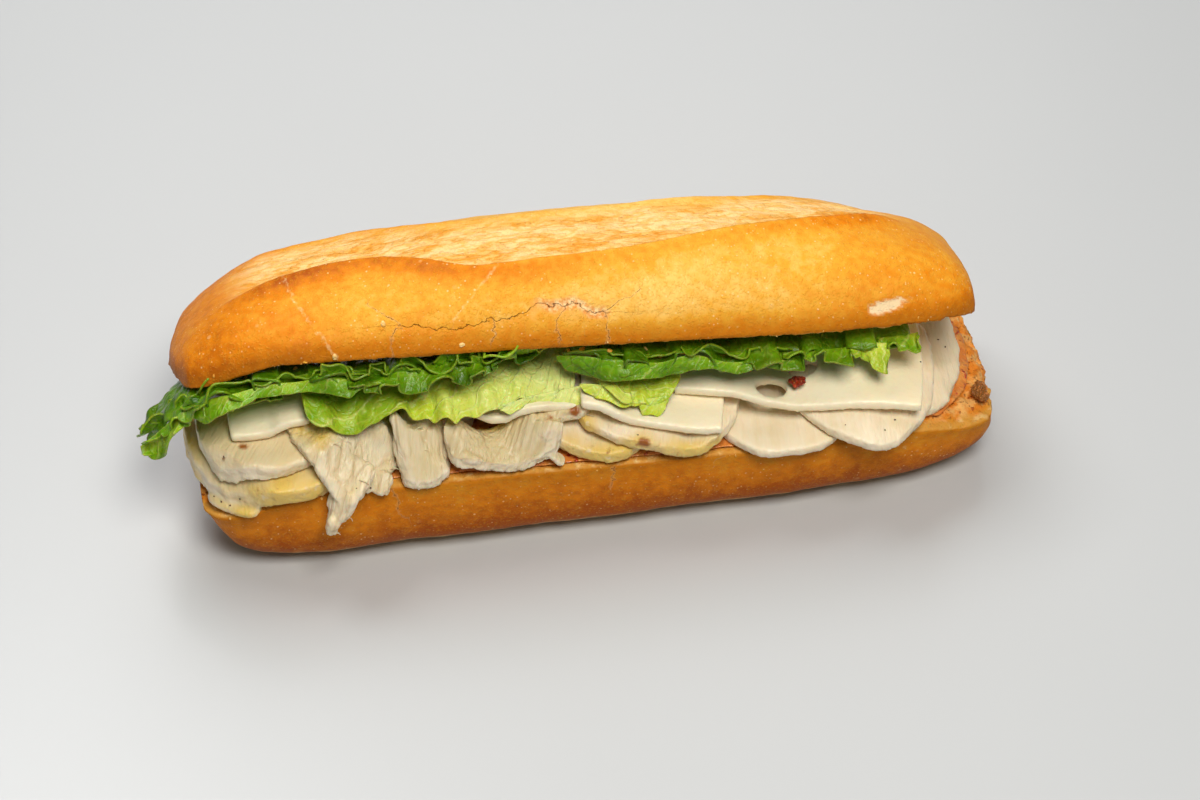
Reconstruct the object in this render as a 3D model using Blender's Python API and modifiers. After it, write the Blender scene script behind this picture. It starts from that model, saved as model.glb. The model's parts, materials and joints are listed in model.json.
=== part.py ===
"""A chicken baguette sandwich: two halves of a slashed roll, a tomato spread, sliced and torn chicken, holed
cheese and ruffled lettuce. Metres, +Z up, X along the roll, the open side facing -Y, and the origin under
the middle of the lower half. Each filling is laid on a pile of those below it, so that it drapes over them.
"""

import math

import bmesh
import bpy
import numpy as np
from mathutils import Matrix, Vector, noise

# The loaf, before it was cut.
LOAF_LENGTH = 0.246
LOAF_WIDTH = 0.076
LOAF_WIDEST_AT = 0.019
LOAF_HEIGHT = 0.0575
BASE_LEFT_BLUNTNESS = 9.0
LID_LEFT_BLUNTNESS = 5.0
RIGHT_BLUNTNESS = 5.5
DOME_LEFT_BLUNTNESS = 2.15
DOME_RIGHT_BLUNTNESS = 2.6
TIP_HEIGHT = 0.013
UNDERSIDE_SQUARENESS = 3.6
DOME_SQUARENESS = 2.35
UNDERSIDE_FLAT = 0.0010
UNDERCUT = 0.10
LEFT_SLANT_FROM = 0.027
LEFT_SLANT_CURVE = 1.3

# The knife's cut through the loaf, highest near the left end.
CUT_HEIGHT = 0.0315
CUT_DROP = 0.005
CUT_LEFT_DIP = 0.008
CUT_RIGHT_DIP = 0.006

# The upper half, tilted open towards the front, and turned a little.
LID_PLACE = (-0.0050, 0.0080, 0.0552)
LID_TILT = math.radians(26.5)
LID_ROLL = math.radians(1.2)
LID_TURN = math.radians(1.2)
LID_SHRINK = 0.982

# The long slash on top, with its raised front lip.
SLASH_LIP_Y = -0.025
SLASH_LEFT_BEND = 0.0125
SLASH_BEND_FROM = -0.028
SLASH_BEND_TO = -0.066
SLASH_RIGHT_BOW = 0.0225
SLASH_BOW_FROM = -0.020
SLASH_REACH = 0.108
SLASH_WIDTH = 0.031
SLASH_DEPTH = 0.0034
SLASH_LIP_RISE = 0.0018

# Fillings.
CLEARANCE = 0.0004
SPREAD_THICKNESS = 0.0012
CHEESE_THICKNESS = 0.0030
LEAF_THICKNESS = 0.0008
LEAST_THICKNESS = 0.0008
OUTSIDE_SLOPE = 3.0
STEEPEST = 0.8

# The grid on which the pile is measured.
CELL = 0.0005
PILE_LOW = (-0.160, -0.070)
PILE_HIGH = (0.150, 0.060)

BREAD_RINGS = 30
BREAD_SEGMENTS = 32
CRUST_SHARE = 0.69

CRUST_GOLD = (0.78, 0.45, 0.15)
SPREAD_ORANGE = (0.75, 0.33, 0.10)
CHICKEN_WHITE = (0.86, 0.78, 0.66)
CHEESE_IVORY = (0.92, 0.87, 0.66)
LETTUCE_DARK = (0.10, 0.30, 0.03)
LETTUCE_MIDDLE = (0.22, 0.48, 0.05)
LETTUCE_PALE = (0.55, 0.72, 0.18)
TOMATO_RED = (0.50, 0.08, 0.03)


def ease(low, high, value):
    """0 below low, 1 above high, and smooth between them."""
    t = np.clip((value - low) / (high - low), 0.0, 1.0)
    return t * t * (3 - 2 * t)


def waviness(points, size, seed):
    """Smooth noise from -1 to 1 at each point, with lumps of the given size."""
    shift = Vector((seed * 3.1, seed * 1.7, seed * 0.9))
    return np.array([noise.noise(Vector(p) / size + shift) for p in points])


def plan_round(reach, upper=False):
    """How much of the full width is left at reach, which runs from -1 to 1 along the loaf."""
    bluntness = np.where(reach < 0, LID_LEFT_BLUNTNESS if upper else BASE_LEFT_BLUNTNESS, RIGHT_BLUNTNESS)
    return (1 - np.clip(np.abs(reach), 0, 1) ** bluntness) ** (1 / bluntness)


def dome_round(reach):
    """How much of the dome's full height is left at reach."""
    bluntness = np.where(reach < 0, DOME_LEFT_BLUNTNESS, DOME_RIGHT_BLUNTNESS)
    return (1 - np.clip(np.abs(reach), 0, 1) ** bluntness) ** (1 / bluntness)


def cut_height(reach, upper=False):
    """Height of the knife's cut in the loaf. The crumb of the lower half is torn lower at its right end."""
    along = CUT_HEIGHT - CUT_DROP * ease(-0.7, 1.0, reach) - CUT_LEFT_DIP * ease(-0.72, -1.0, reach)
    return along if upper else along - CUT_RIGHT_DIP * ease(0.72, 1.0, reach)


def superellipse(angle, squareness):
    """A point at an angle on a rounded square, 1 from its centre to its sides."""
    c, s = np.cos(angle), np.sin(angle)
    return np.sign(c) * np.abs(c) ** (2 / squareness), np.sign(s) * np.abs(s) ** (2 / squareness)


def lower_crust(reach, along):
    """y and z of the lower half's crust. Along is 0 at its back rim and 1 at its front rim."""
    rim = (cut_height(reach) - LOAF_WIDEST_AT) / (LOAF_HEIGHT - LOAF_WIDEST_AT)
    start = np.arcsin(np.sign(rim) * np.abs(rim) ** (DOME_SQUARENESS / 2))
    angle = start - (math.pi + 2 * start) * along
    squareness = np.where(np.sin(angle) > 0, DOME_SQUARENESS, UNDERSIDE_SQUARENESS)
    across, up = superellipse(angle, squareness)
    depth = (LOAF_WIDEST_AT + UNDERSIDE_FLAT) * plan_round(reach) ** 0.5
    z = LOAF_WIDEST_AT + np.where(up > 0, LOAF_HEIGHT - LOAF_WIDEST_AT, depth) * up
    z = np.where(np.abs(reach) > 0.9999, TIP_HEIGHT, z)
    return LOAF_WIDTH / 2 * plan_round(reach) * across, np.maximum(z, 0.0)


def upper_crust(reach, along):
    """y and z of the upper half's crust. Along is 0 at its back rim and 1 at its front rim."""
    across, up = superellipse(math.pi * along, DOME_SQUARENESS)
    floor = cut_height(reach, True)
    rise = (LOAF_HEIGHT - floor) * dome_round(reach)
    return LOAF_WIDTH / 2 * plan_round(reach, True) * across, floor + rise * up


def slash_lip(x):
    """Where the slash's front lip lies in y: it steps back at the left end, and bows back to the right."""
    bend = SLASH_LEFT_BEND * ease(-SLASH_BEND_FROM, -SLASH_BEND_TO, -x)
    bow = SLASH_RIGHT_BOW * (np.maximum(x - SLASH_BOW_FROM, 0) / (SLASH_REACH - 0.3 * SLASH_BOW_FROM)) ** 2
    return SLASH_LIP_Y + bend + bow


def slash_relief(x, y):
    """Height that the slash adds to the dome: a raised lip in front, then a torn trough."""
    behind = y - slash_lip(x)
    length = 1 - ease(0.80, 1.0, np.abs(x) / SLASH_REACH)
    ridge = SLASH_LIP_RISE * np.exp(-((behind + 0.0020) / 0.0045) ** 2)
    trough = -SLASH_DEPTH * ease(-0.0010, 0.0030, behind)
    trough = trough * (1 - ease(0.3 * SLASH_WIDTH, SLASH_WIDTH, behind))
    back_lip = 0.0010 * np.exp(-((behind - SLASH_WIDTH) / 0.003) ** 2)
    return (ridge + trough + back_lip) * length


def new_object(name, mesh_builder, colour, roughness):
    """Adds a mesh object, with its own material."""
    mesh = bpy.data.meshes.new(name)
    mesh_builder.to_mesh(mesh)
    mesh_builder.free()
    made = bpy.data.objects.new(name, mesh)
    material = bpy.data.materials.new(name)
    material.use_nodes = True
    shader = material.node_tree.nodes["Principled BSDF"]
    shader.inputs["Base Color"].default_value = (*colour, 1.0)
    shader.inputs["Roughness"].default_value = roughness
    mesh.materials.append(material)
    mesh.shade_smooth()
    mesh.set_sharp_from_angle(angle=math.radians(40))
    sandwich.objects.link(made)
    return made


def sphere_builder(segments, rings):
    """A unit sphere whose poles lie on the X axis, and the direction of each of its points."""
    builder = bmesh.new()
    bmesh.ops.create_uvsphere(builder, u_segments=segments, v_segments=rings, radius=1.0)
    bmesh.ops.rotate(builder, verts=builder.verts, matrix=Matrix.Rotation(math.radians(90), 3, "Y"))
    return builder, np.array([v.co for v in builder.verts])


def place(builder, points):
    """Moves the points of a mesh builder, and turns its faces outwards."""
    for vertex, point in zip(builder.verts, points):
        vertex.co = point
    builder.normal_update()
    bmesh.ops.recalc_face_normals(builder, faces=builder.faces)


def drawn_in(x, z):
    """How much shorter the lower half is towards its sole, more steadily so at the left end."""
    right = np.maximum(1 - z / LOAF_WIDEST_AT, 0) ** 2
    return UNDERCUT * np.where(x < 0, np.maximum(1 - z / LEFT_SLANT_FROM, 0) ** LEFT_SLANT_CURVE, right)


def bread_half(name, upper):
    """One half of the loaf in the loaf's own frame: crust outside, and a flat cut side."""
    builder, directions = sphere_builder(BREAD_SEGMENTS, BREAD_RINGS)
    reach = np.clip(directions[:, 0], -1, 1)
    share = (np.arctan2(directions[:, 2], directions[:, 1]) / (2 * math.pi)) % 1.0
    crust = upper_crust if upper else lower_crust
    rim_y, _ = crust(reach, np.zeros_like(reach))
    y, z = crust(reach, np.minimum(share / CRUST_SHARE, 1.0))
    on_cut = share > CRUST_SHARE
    across = (share - CRUST_SHARE) / (1 - CRUST_SHARE)
    y = np.where(on_cut, -rim_y + 2 * rim_y * across, y)
    z = np.where(on_cut & (np.abs(reach) < 0.9999), cut_height(reach, upper), z)
    x = reach * LOAF_LENGTH / 2 * (LID_SHRINK if upper else 1)
    if upper:
        above_cut = ease(0.004, 0.014, z - cut_height(reach, True)) * ~on_cut
        z = z + slash_relief(x, y) * above_cut - CUT_HEIGHT
    else:
        x = x * (1 - drawn_in(x, z) * (reach < 0.9999))
    points = np.stack([x, y, z], 1)
    puff = 0.0007 * waviness(points, 0.022, 3.0 + upper) * ~on_cut * (np.abs(y) > 0.01)
    points[:, 1] += puff * np.sign(points[:, 1])
    place(builder, points)
    return new_object(name, builder, CRUST_GOLD, 0.55)


class Pile:
    """The height of everything laid so far, and of the ceiling over it, on a grid of cells."""

    def __init__(self):
        self.columns = np.arange(PILE_LOW[0], PILE_HIGH[0], CELL)
        self.rows = np.arange(PILE_LOW[1], PILE_HIGH[1], CELL)
        x, y = np.meshgrid(self.columns, self.rows, indexing="ij")
        reach = x / (LOAF_LENGTH / 2)
        inside = np.clip(reach, -0.999, 0.999)
        edge_y = LOAF_WIDTH / 2 * plan_round(inside)
        outside = np.maximum(np.abs(y) - edge_y, 0) + np.maximum(np.abs(x) - LOAF_LENGTH / 2, 0)
        self.top = cut_height(inside) - OUTSIDE_SLOPE * outside
        self.ceiling = np.full_like(self.top, 1.0)
        self.widen()

    def widen(self):
        """Keeps the highest top and the lowest ceiling next to each cell."""
        self.wide_top, self.low_ceiling = self.top.copy(), self.ceiling.copy()
        for dx in (-1, 0, 1):
            for dy in (-1, 0, 1):
                self.wide_top = np.maximum(self.wide_top, np.roll(self.top, (dx, dy), (0, 1)))
                self.low_ceiling = np.minimum(self.low_ceiling, np.roll(self.ceiling, (dx, dy), (0, 1)))

    def cells(self, xy):
        i = np.clip(np.rint((xy[..., 0] - PILE_LOW[0]) / CELL).astype(int), 0, len(self.columns) - 1)
        j = np.clip(np.rint((xy[..., 1] - PILE_LOW[1]) / CELL).astype(int), 0, len(self.rows) - 1)
        return i, j

    def write(self, points, triangles, grid, pick):
        """Writes the height of a triangulated surface to the cells that it covers."""
        steps = np.linspace(0, 1, 16)
        weights = np.array([(a, b, 1 - a - b) for a in steps for b in steps if a + b <= 1.0001])
        samples = np.einsum("sk,tkc->tsc", weights, points[triangles]).reshape(-1, 3)
        i, j = self.cells(samples)
        pick.at(grid, (i, j), samples[:, 2])
        self.widen()

    def settle(self, xy, triangles, limpness, rounds=60):
        """Heights at which a sheet over these points rests on the pile, cleared all over its triangles."""
        i, j = self.cells(xy)
        z = self.wide_top[i, j] + CLEARANCE
        weights, si, sj = self.samples(xy, triangles)
        needed = self.wide_top[si, sj] + CLEARANCE
        links = np.concatenate([triangles[:, [0, 1]], triangles[:, [1, 2]], triangles[:, [2, 0]]])
        count = np.zeros(len(xy))
        np.add.at(count, links.ravel(), 1)
        for _ in range(rounds):
            total = np.zeros(len(xy))
            np.add.at(total, links[:, 0], z[links[:, 1]])
            np.add.at(total, links[:, 1], z[links[:, 0]])
            z = 0.3 * z + 0.7 * total / count - limpness
            for _ in range(3):
                z = z + 0.5 * self.shortfall(z, triangles, weights, needed)
        for _ in range(12):
            z = z + self.shortfall(z, triangles, weights, needed)
        return z

    def samples(self, xy, triangles):
        """Places all over each triangle, as shares of its corners and as cells."""
        steps = np.linspace(0, 1, 9)
        weights = np.array([(a, b, 1 - a - b) for a in steps for b in steps if a + b <= 1.0001])
        return weights, *self.cells(np.einsum("sk,tkc->tsc", weights, xy[triangles]))

    def press(self, xy, z, triangles, margin):
        """Lowers a sheet to keep it under the ceiling all over its triangles."""
        weights, si, sj = self.samples(xy, triangles)
        most = self.low_ceiling[si, sj] - margin
        for _ in range(12):
            z = z - self.shortfall(-z, triangles, weights, -most)
        return z

    def shortfall(self, z, triangles, weights, needed):
        """How far each point must rise for its triangles to clear the pile."""
        short = np.max(needed - z[triangles] @ weights.T, axis=1)
        lift = np.zeros(len(z))
        np.maximum.at(lift, triangles.ravel(), np.repeat(np.maximum(short, 0), 3))
        return lift


def grid_builder(columns, rows):
    """A flat grid, its points' places from -1 to 1, and its triangles."""
    builder = bmesh.new()
    bmesh.ops.create_grid(builder, x_segments=columns, y_segments=rows, size=1.0)
    bmesh.ops.triangulate(builder, faces=builder.faces, quad_method="ALTERNATE")
    builder.verts.index_update()
    places = np.array([v.co[:2] for v in builder.verts])
    triangles = np.array([[v.index for v in f.verts] for f in builder.faces])
    return builder, places, triangles


def rounded(places, roundness):
    """Moves a square's points towards those of a disc."""
    u, v = places[:, 0], places[:, 1]
    disc = np.stack([u * np.sqrt(1 - v * v / 2), v * np.sqrt(1 - u * u / 2)], 1)
    return places * (1 - roundness) + disc * roundness


def steepness(xy, z, triangles):
    """The slope of a sheet at each of its points."""
    p = np.column_stack([xy, z])[triangles]
    normal = np.cross(p[:, 1] - p[:, 0], p[:, 2] - p[:, 0])
    total = np.zeros((len(xy), 3))
    for k in range(3):
        np.add.at(total, triangles[:, k], normal * np.sign(normal[:, 2:]))
    return np.hypot(total[:, 0], total[:, 1]) / np.maximum(total[:, 2], 1e-12)


def thicken(builder, lower, upper):
    """Closes a sheet into a solid, between its lower and upper points."""
    number = builder.verts.layers.int.new("number")
    for vertex in builder.verts:
        vertex[number] = vertex.index
    made = bmesh.ops.extrude_face_region(builder, geom=builder.faces[:], use_keep_orig=True)
    raised = {g for g in made["geom"] if isinstance(g, bmesh.types.BMVert)}
    place(builder, [upper[v[number]] if v in raised else lower[v[number]] for v in builder.verts])


def slice_on(pile, name, centre, size, turn, thickness, colour, seed, roundness, limpness, dome, grain,
             cells=(8, 8), rough=0.08):
    """Lays one slice on the pile. Size is its length and width, turn its angle in plan, and dome the share
    of its thickness lost towards its rim."""
    builder, places, triangles = grid_builder(*cells)
    shape = rounded(places, roundness)
    angle = np.arctan2(shape[:, 1], shape[:, 0])
    ring = np.stack([np.cos(angle), np.sin(angle), np.zeros(len(angle))], 1)
    uneven = 1 + rough * waviness(ring, 0.9, seed) + 0.6 * rough * waviness(ring, 0.35, seed + 5)
    local = shape * uneven[:, None] * np.array(size) / 2
    c, s = math.cos(turn), math.sin(turn)
    xy = local @ np.array([[c, s], [-s, c]]) + np.array(centre)
    z = pile.settle(xy, triangles, limpness)
    rim = np.max(np.abs(places), axis=1)
    uneven = 1 + grain * 2 * waviness(np.column_stack([xy, z]), 0.012, seed + 9)
    stretch = np.sqrt(1 + np.minimum(steepness(xy, z, triangles), STEEPEST) ** 2)
    depth = thickness * (1 - dome * rim ** 3) * uneven * stretch
    top = np.maximum(pile.press(xy, z + depth, triangles, CLEARANCE), z + LEAST_THICKNESS)
    lower = np.column_stack([xy, z])
    upper = np.column_stack([xy, top])
    thicken(builder, lower, upper)
    pile.write(upper, triangles, pile.top, np.maximum)
    return new_object(name, builder, colour, 0.5)


def lid_plane(xy):
    """Height of the upper half's cut side, carried on past its edge."""
    up = lid_place.to_3x3() @ Vector((0, 0, 1))
    slope_x, slope_y = -up.x / up.z, -up.y / up.z
    return LID_PLACE[2] + slope_x * (xy[:, 0] - LID_PLACE[0]) + slope_y * (xy[:, 1] - LID_PLACE[1])


def leaf_on(pile, name, ends, edges, cells, waves, ruffle, hold, colour, seed, taper=0.25, end_droop=0.0,
            swing=0.0):
    """Lays a lettuce leaf between the pile and the upper half. Ends are its reach along X, and edges its
    inner and free edge in Y. Hold is how high it lies in the gap at its inner edge, near the lip of the
    upper half and at its free edge. Ruffle is the height of its folds, and waves how many there are."""
    builder, places, triangles = grid_builder(*cells)
    along = (places[:, 0] + 1) / 2
    out = (1 - places[:, 1]) / 2
    phase = 2 * math.pi * waves * along + 1.1 * np.sin(2 * math.pi * along * 1.7 + seed)
    edge = 1 - taper * np.abs(places[:, 0]) ** 4 + 0.07 * np.sin(phase * 0.43 + seed)
    x = ends[0] + (ends[1] - ends[0]) * along + 0.0012 * out ** 2 * np.cos(phase)
    y = edges[0] + (edges[1] - edges[0]) * out * edge + swing * out * (1 - along) ** 2
    xy = np.column_stack([x, y])
    floor = pile.settle(xy, triangles, 0.0002) + LEAF_THICKNESS
    share = np.interp(out, [0.0, 0.65, 1.0], hold)
    middle = floor + share * np.maximum(lid_plane(xy) - floor, 0) - end_droop * ease(0.12, 0.0, along)
    fold = np.sin(phase) * (0.7 + 0.3 * np.sin(phase * 0.37 + 2 * seed))
    z = middle + ruffle * (0.08 + 0.92 * out ** 2) * fold
    z = np.maximum(pile.press(xy, np.maximum(z, floor), triangles, LEAF_THICKNESS + CLEARANCE), floor)
    place(builder, np.column_stack([xy, z]))
    top = z + LEAF_THICKNESS * np.sqrt(1 + np.minimum(steepness(xy, z, triangles), 3) ** 2)
    pile.write(np.column_stack([xy, top]), triangles, pile.top, np.maximum)
    leaf = new_object(name, builder, colour, 0.4)
    shell = leaf.modifiers.new("thickness", "SOLIDIFY")
    shell.thickness = LEAF_THICKNESS
    shell.offset = 0.0
    return leaf


def lump_on(pile, name, centre, size, colour, seed):
    """A small lump, such as a piece of dried tomato, that sits on the pile."""
    builder, directions = sphere_builder(12, 8)
    bumps = 1 + 0.18 * waviness(directions, 0.6, seed)
    points = directions * bumps[:, None] * np.array(size) / 2
    i, j = pile.cells(points[:, :2] + np.array(centre))
    floor = np.max(pile.wide_top[i, j]) + CLEARANCE
    points = points + np.array([*centre, floor - points[:, 2].min()])
    place(builder, points)
    return new_object(name, builder, colour, 0.45)


def triangles_of(made):
    """World places of an object's points, and its triangles."""
    made.data.calc_loop_triangles()
    points = np.array([made.matrix_world @ v.co for v in made.data.vertices])
    return points, np.array([t.vertices for t in made.data.loop_triangles])


def pierce(made, holes):
    """Cuts bubble holes, each with its centre, length and width, through a slice of cheese."""
    for number, (centre, size) in enumerate(holes):
        builder = bmesh.new()
        bmesh.ops.create_cone(builder, cap_ends=True, segments=16, radius1=0.5, radius2=0.5, depth=1.0)
        bmesh.ops.scale(builder, verts=builder.verts, vec=(*size, LOAF_WIDTH))
        bmesh.ops.translate(builder, verts=builder.verts, vec=(*centre, LOAF_HEIGHT))
        mesh = bpy.data.meshes.new(f"bubble_{number}")
        builder.to_mesh(mesh)
        builder.free()
        cutter = bpy.data.objects.new(f"bubble_{number}", mesh)
        cutter.hide_render = True
        cutter.display_type = "WIRE"
        cutters.objects.link(cutter)
        cut = made.modifiers.new(f"bubble_{number}", "BOOLEAN")
        cut.operation = "DIFFERENCE"
        cut.solver = "EXACT"
        cut.object = cutter


def lay_bread(pile):
    """The two halves of the roll, the upper one in its tilted place over the pile."""
    bread_half("bread_base", False)
    lid = bread_half("bread_lid", True)
    lid.matrix_world = lid_place
    bpy.context.view_layer.update()
    pile.write(*triangles_of(lid), pile.ceiling, np.minimum)


def lay_chicken(pile):
    """Slices from left to right, then the pieces that lie on them."""
    def piece(name, centre, size, turn, thickness, seed, roundness=0.85, dome=0.10, limpness=0.0008):
        slice_on(pile, "chicken_" + name, centre, size, turn, thickness, CHICKEN_WHITE, seed,
                 roundness=roundness, dome=dome, grain=0.04 + 0.13 * dome, limpness=limpness)

    piece("left_low", (-0.0965, -0.0050), (0.054, 0.069), 0.06, 0.0065, 1.0, limpness=0.0010)
    piece("flat", (-0.0550, 0.0020), (0.040, 0.060), -0.10, 0.0045, 2.0, roundness=0.70, dome=0.20)
    piece("right_end", (0.0935, -0.0020), (0.040, 0.062), -0.15, 0.0035, 5.0, limpness=0.0016)
    piece("middle_low", (-0.0220, 0.0050), (0.034, 0.056), 0.10, 0.0035, 3.0, dome=0.20)
    piece("yellow_edge", (-0.0020, -0.0070), (0.044, 0.060), -0.10, 0.0045, 4.0)
    piece("round", (0.0530, -0.0080), (0.050, 0.073), 0.00, 0.0038, 6.0, roundness=0.95, limpness=0.0010)
    piece("round_front", (0.0800, -0.0125), (0.046, 0.066), -0.10, 0.0036, 7.0, roundness=0.95)
    piece("seared", (0.0160, -0.0180), (0.050, 0.042), -0.22, 0.0042, 8.0, roundness=0.75)
    piece("left_top", (-0.0985, -0.0120), (0.044, 0.048), -0.02, 0.0058, 9.0, dome=0.15)
    piece("back", (-0.0470, -0.0050), (0.030, 0.032), 0.15, 0.0050, 12.0, roundness=0.60, dome=0.30)
    piece("flake", (-0.0790, -0.0270), (0.026, 0.028), 0.55, 0.0030, 10.0, roundness=0.50, dome=0.25,
          limpness=0.0014)
    piece("torn", (-0.0560, -0.0290), (0.016, 0.020), 0.10, 0.0065, 11.0, roundness=0.70, dome=0.45)
    piece("chunk", (-0.0315, -0.0305), (0.036, 0.014), 0.05, 0.0050, 13.0, roundness=0.60, dome=0.25,
          limpness=0.0004)


def lay_cheese(pile):
    """Slices of cheese, the last one with bubble holes."""
    def piece(name, centre, size, turn, roundness, seed):
        return slice_on(pile, "cheese_" + name, centre, size, turn, CHEESE_THICKNESS, CHEESE_IVORY, seed,
                        roundness=roundness, cells=(8, 7), limpness=0.0006, rough=0.02, dome=0.0, grain=0.0)

    piece("left", (-0.0990, -0.0090), (0.024, 0.034), 0.00, 0.10, 21.0)
    piece("middle", (-0.0250, -0.0090), (0.038, 0.038), -0.05, 0.25, 22.0)
    piece("front", (0.0160, -0.0150), (0.043, 0.040), -0.20, 0.08, 23.0)
    holed = piece("holed", (0.0610, -0.0100), (0.076, 0.046), -0.20, 0.12, 24.0)
    pierce(holed, [((0.0500, -0.0250), (0.0095, 0.0075)), ((0.0610, -0.0190), (0.0090, 0.0060))])


def lay_lettuce(pile):
    """Pale leaves, then the dark ruffled ones under the upper half."""
    leaf_on(pile, "lettuce_middle", (-0.089, -0.008), (0.004, -0.0290), (24, 6), 4.5, 0.0018,
            (0.1, 0.3, 0.0), LETTUCE_PALE, 1.0, taper=0.2, swing=-0.004)
    leaf_on(pile, "lettuce_tip", (-0.003, 0.023), (-0.006, -0.0320), (9, 6), 1.5, 0.0010,
            (0.05, 0.2, 0.05), LETTUCE_PALE, 2.0, taper=0.3)
    leaf_on(pile, "lettuce_fold", (-0.121, -0.093), (-0.008, -0.0210), (11, 5), 2.0, 0.0010,
            (0.05, 0.2, 0.20), LETTUCE_MIDDLE, 3.0, taper=0.3)
    leaf_on(pile, "lettuce_left", (-0.135, -0.015), (0.002, -0.0260), (40, 6), 7.0, 0.0030,
            (0.2, 0.6, 0.55), LETTUCE_DARK, 4.0, end_droop=0.010)
    leaf_on(pile, "lettuce_right", (-0.011, 0.092), (0.002, -0.0285), (34, 6), 6.0, 0.0030,
            (0.2, 0.6, 0.40), LETTUCE_DARK, 5.0)


def build():
    """Makes every part of the sandwich, from the roll up to the leaves."""
    pile = Pile()
    lay_bread(pile)
    slice_on(pile, "tomato_spread", (0.0, -0.001), (0.236, 0.069), 0.0, SPREAD_THICKNESS, SPREAD_ORANGE, 7.0,
             roundness=0.45, cells=(20, 5), rough=0.02, dome=0.3, grain=0.1, limpness=0.0014)
    lay_chicken(pile)
    lay_cheese(pile)
    lump_on(pile, "dried_tomato", (0.1170, -0.0205), (0.0052, 0.009, 0.0045), TOMATO_RED, 31.0)
    lump_on(pile, "tomato_bit", (0.0577, -0.0258), (0.006, 0.005, 0.0035), TOMATO_RED, 32.0)
    lay_lettuce(pile)


for leftover in list(bpy.data.objects):
    bpy.data.objects.remove(leftover)
sandwich = bpy.data.collections.new("chicken_baguette_sandwich")
cutters = bpy.data.collections.new("cutters")
bpy.context.scene.collection.children.link(sandwich)
bpy.context.scene.collection.children.link(cutters)
lid_place = (Matrix.Translation(LID_PLACE) @ Matrix.Rotation(-LID_TURN, 4, "Z")
             @ Matrix.Rotation(LID_ROLL, 4, "Y") @ Matrix.Rotation(-LID_TILT, 4, "X"))
build()
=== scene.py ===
"""Dresses a chicken baguette sandwich around its packed CAD solids.

Metres, +Z up, X along the roll, the open side facing -Y. Each piece takes its place and form from the solid
that it stands for, and adds the crust, crumb, fibres, veins and crumbs that the solid is too plain for.
"""

import json
import math

import bmesh
import bpy
import numpy as np
from bpy.props import FloatProperty, FloatVectorProperty, IntProperty, PointerProperty
from mathutils import Matrix, Vector, noise
from mathutils.kdtree import KDTree

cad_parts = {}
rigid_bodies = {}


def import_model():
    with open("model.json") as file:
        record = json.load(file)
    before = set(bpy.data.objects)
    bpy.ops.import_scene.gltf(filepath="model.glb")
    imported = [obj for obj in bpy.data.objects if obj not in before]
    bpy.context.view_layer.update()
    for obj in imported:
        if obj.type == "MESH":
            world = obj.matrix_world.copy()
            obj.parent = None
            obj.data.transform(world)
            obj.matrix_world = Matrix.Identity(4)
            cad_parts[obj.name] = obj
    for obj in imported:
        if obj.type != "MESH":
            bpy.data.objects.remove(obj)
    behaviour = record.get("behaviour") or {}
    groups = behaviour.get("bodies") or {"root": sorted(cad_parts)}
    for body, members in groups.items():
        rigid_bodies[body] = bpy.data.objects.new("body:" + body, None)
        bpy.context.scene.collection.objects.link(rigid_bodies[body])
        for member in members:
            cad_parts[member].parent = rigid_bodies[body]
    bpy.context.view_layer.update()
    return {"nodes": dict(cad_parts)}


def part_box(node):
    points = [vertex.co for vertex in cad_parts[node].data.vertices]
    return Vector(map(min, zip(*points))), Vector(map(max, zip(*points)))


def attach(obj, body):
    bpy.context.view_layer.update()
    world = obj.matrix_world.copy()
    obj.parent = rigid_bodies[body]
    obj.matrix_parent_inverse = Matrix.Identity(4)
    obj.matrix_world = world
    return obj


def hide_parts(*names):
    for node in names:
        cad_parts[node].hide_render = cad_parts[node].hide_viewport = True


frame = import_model()

bl_info = {
    "name": "Chicken baguette sandwich",
    "version": (1, 0, 0),
    "blender": (4, 5, 0),
    "location": "3D Viewport > Sidebar > Sandwich",
    "description": "Dresses a filled baguette roll: crust, spread, chicken, cheese, lettuce and crumbs",
    "category": "Object",
}

# The loaf, as it was before it was cut. These are the solids' own sizes.
LOAF_LENGTH = 0.246
LOAF_WIDTH = 0.076
LOAF_WIDEST_AT = 0.019
LOAF_HEIGHT = 0.0575
LOAF_GIRTH = 0.210
BASE_LEFT_BLUNTNESS = 9.0
LID_LEFT_BLUNTNESS = 5.0
RIGHT_BLUNTNESS = 5.5
DOME_LEFT_BLUNTNESS = 2.15
DOME_RIGHT_BLUNTNESS = 2.6
TIP_HEIGHT = 0.013
UNDERSIDE_SQUARENESS = 3.6
DOME_SQUARENESS = 2.35
UNDERSIDE_FLAT = 0.0010
UNDERCUT = 0.10
LEFT_SLANT_FROM = 0.027
LEFT_SLANT_CURVE = 1.3
CUT_HEIGHT = 0.0315
CUT_DROP = 0.005
CUT_LEFT_DIP = 0.008
CUT_RIGHT_DIP = 0.006
CRUST_SHARE = 0.69
CAP_SHARE = 0.72

# The upper half's place, tilted open.
LID_PLACE = (-0.0050, 0.0080, 0.0552)
LID_TILT = math.radians(26.5)
LID_ROLL = math.radians(1.2)
LID_TURN = math.radians(1.2)
LID_SHRINK = 0.982

# The baker's slash.
SLASH_LIP_Y = -0.025
SLASH_LEFT_BEND = 0.0125
SLASH_BEND_FROM = -0.028
SLASH_BEND_TO = -0.066
SLASH_RIGHT_BOW = 0.0225
SLASH_BOW_FROM = -0.020
SLASH_REACH = 0.108
SLASH_WIDTH = 0.031
SLASH_DEPTH = 0.0034
SLASH_LIP_RISE = 0.0018

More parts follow.
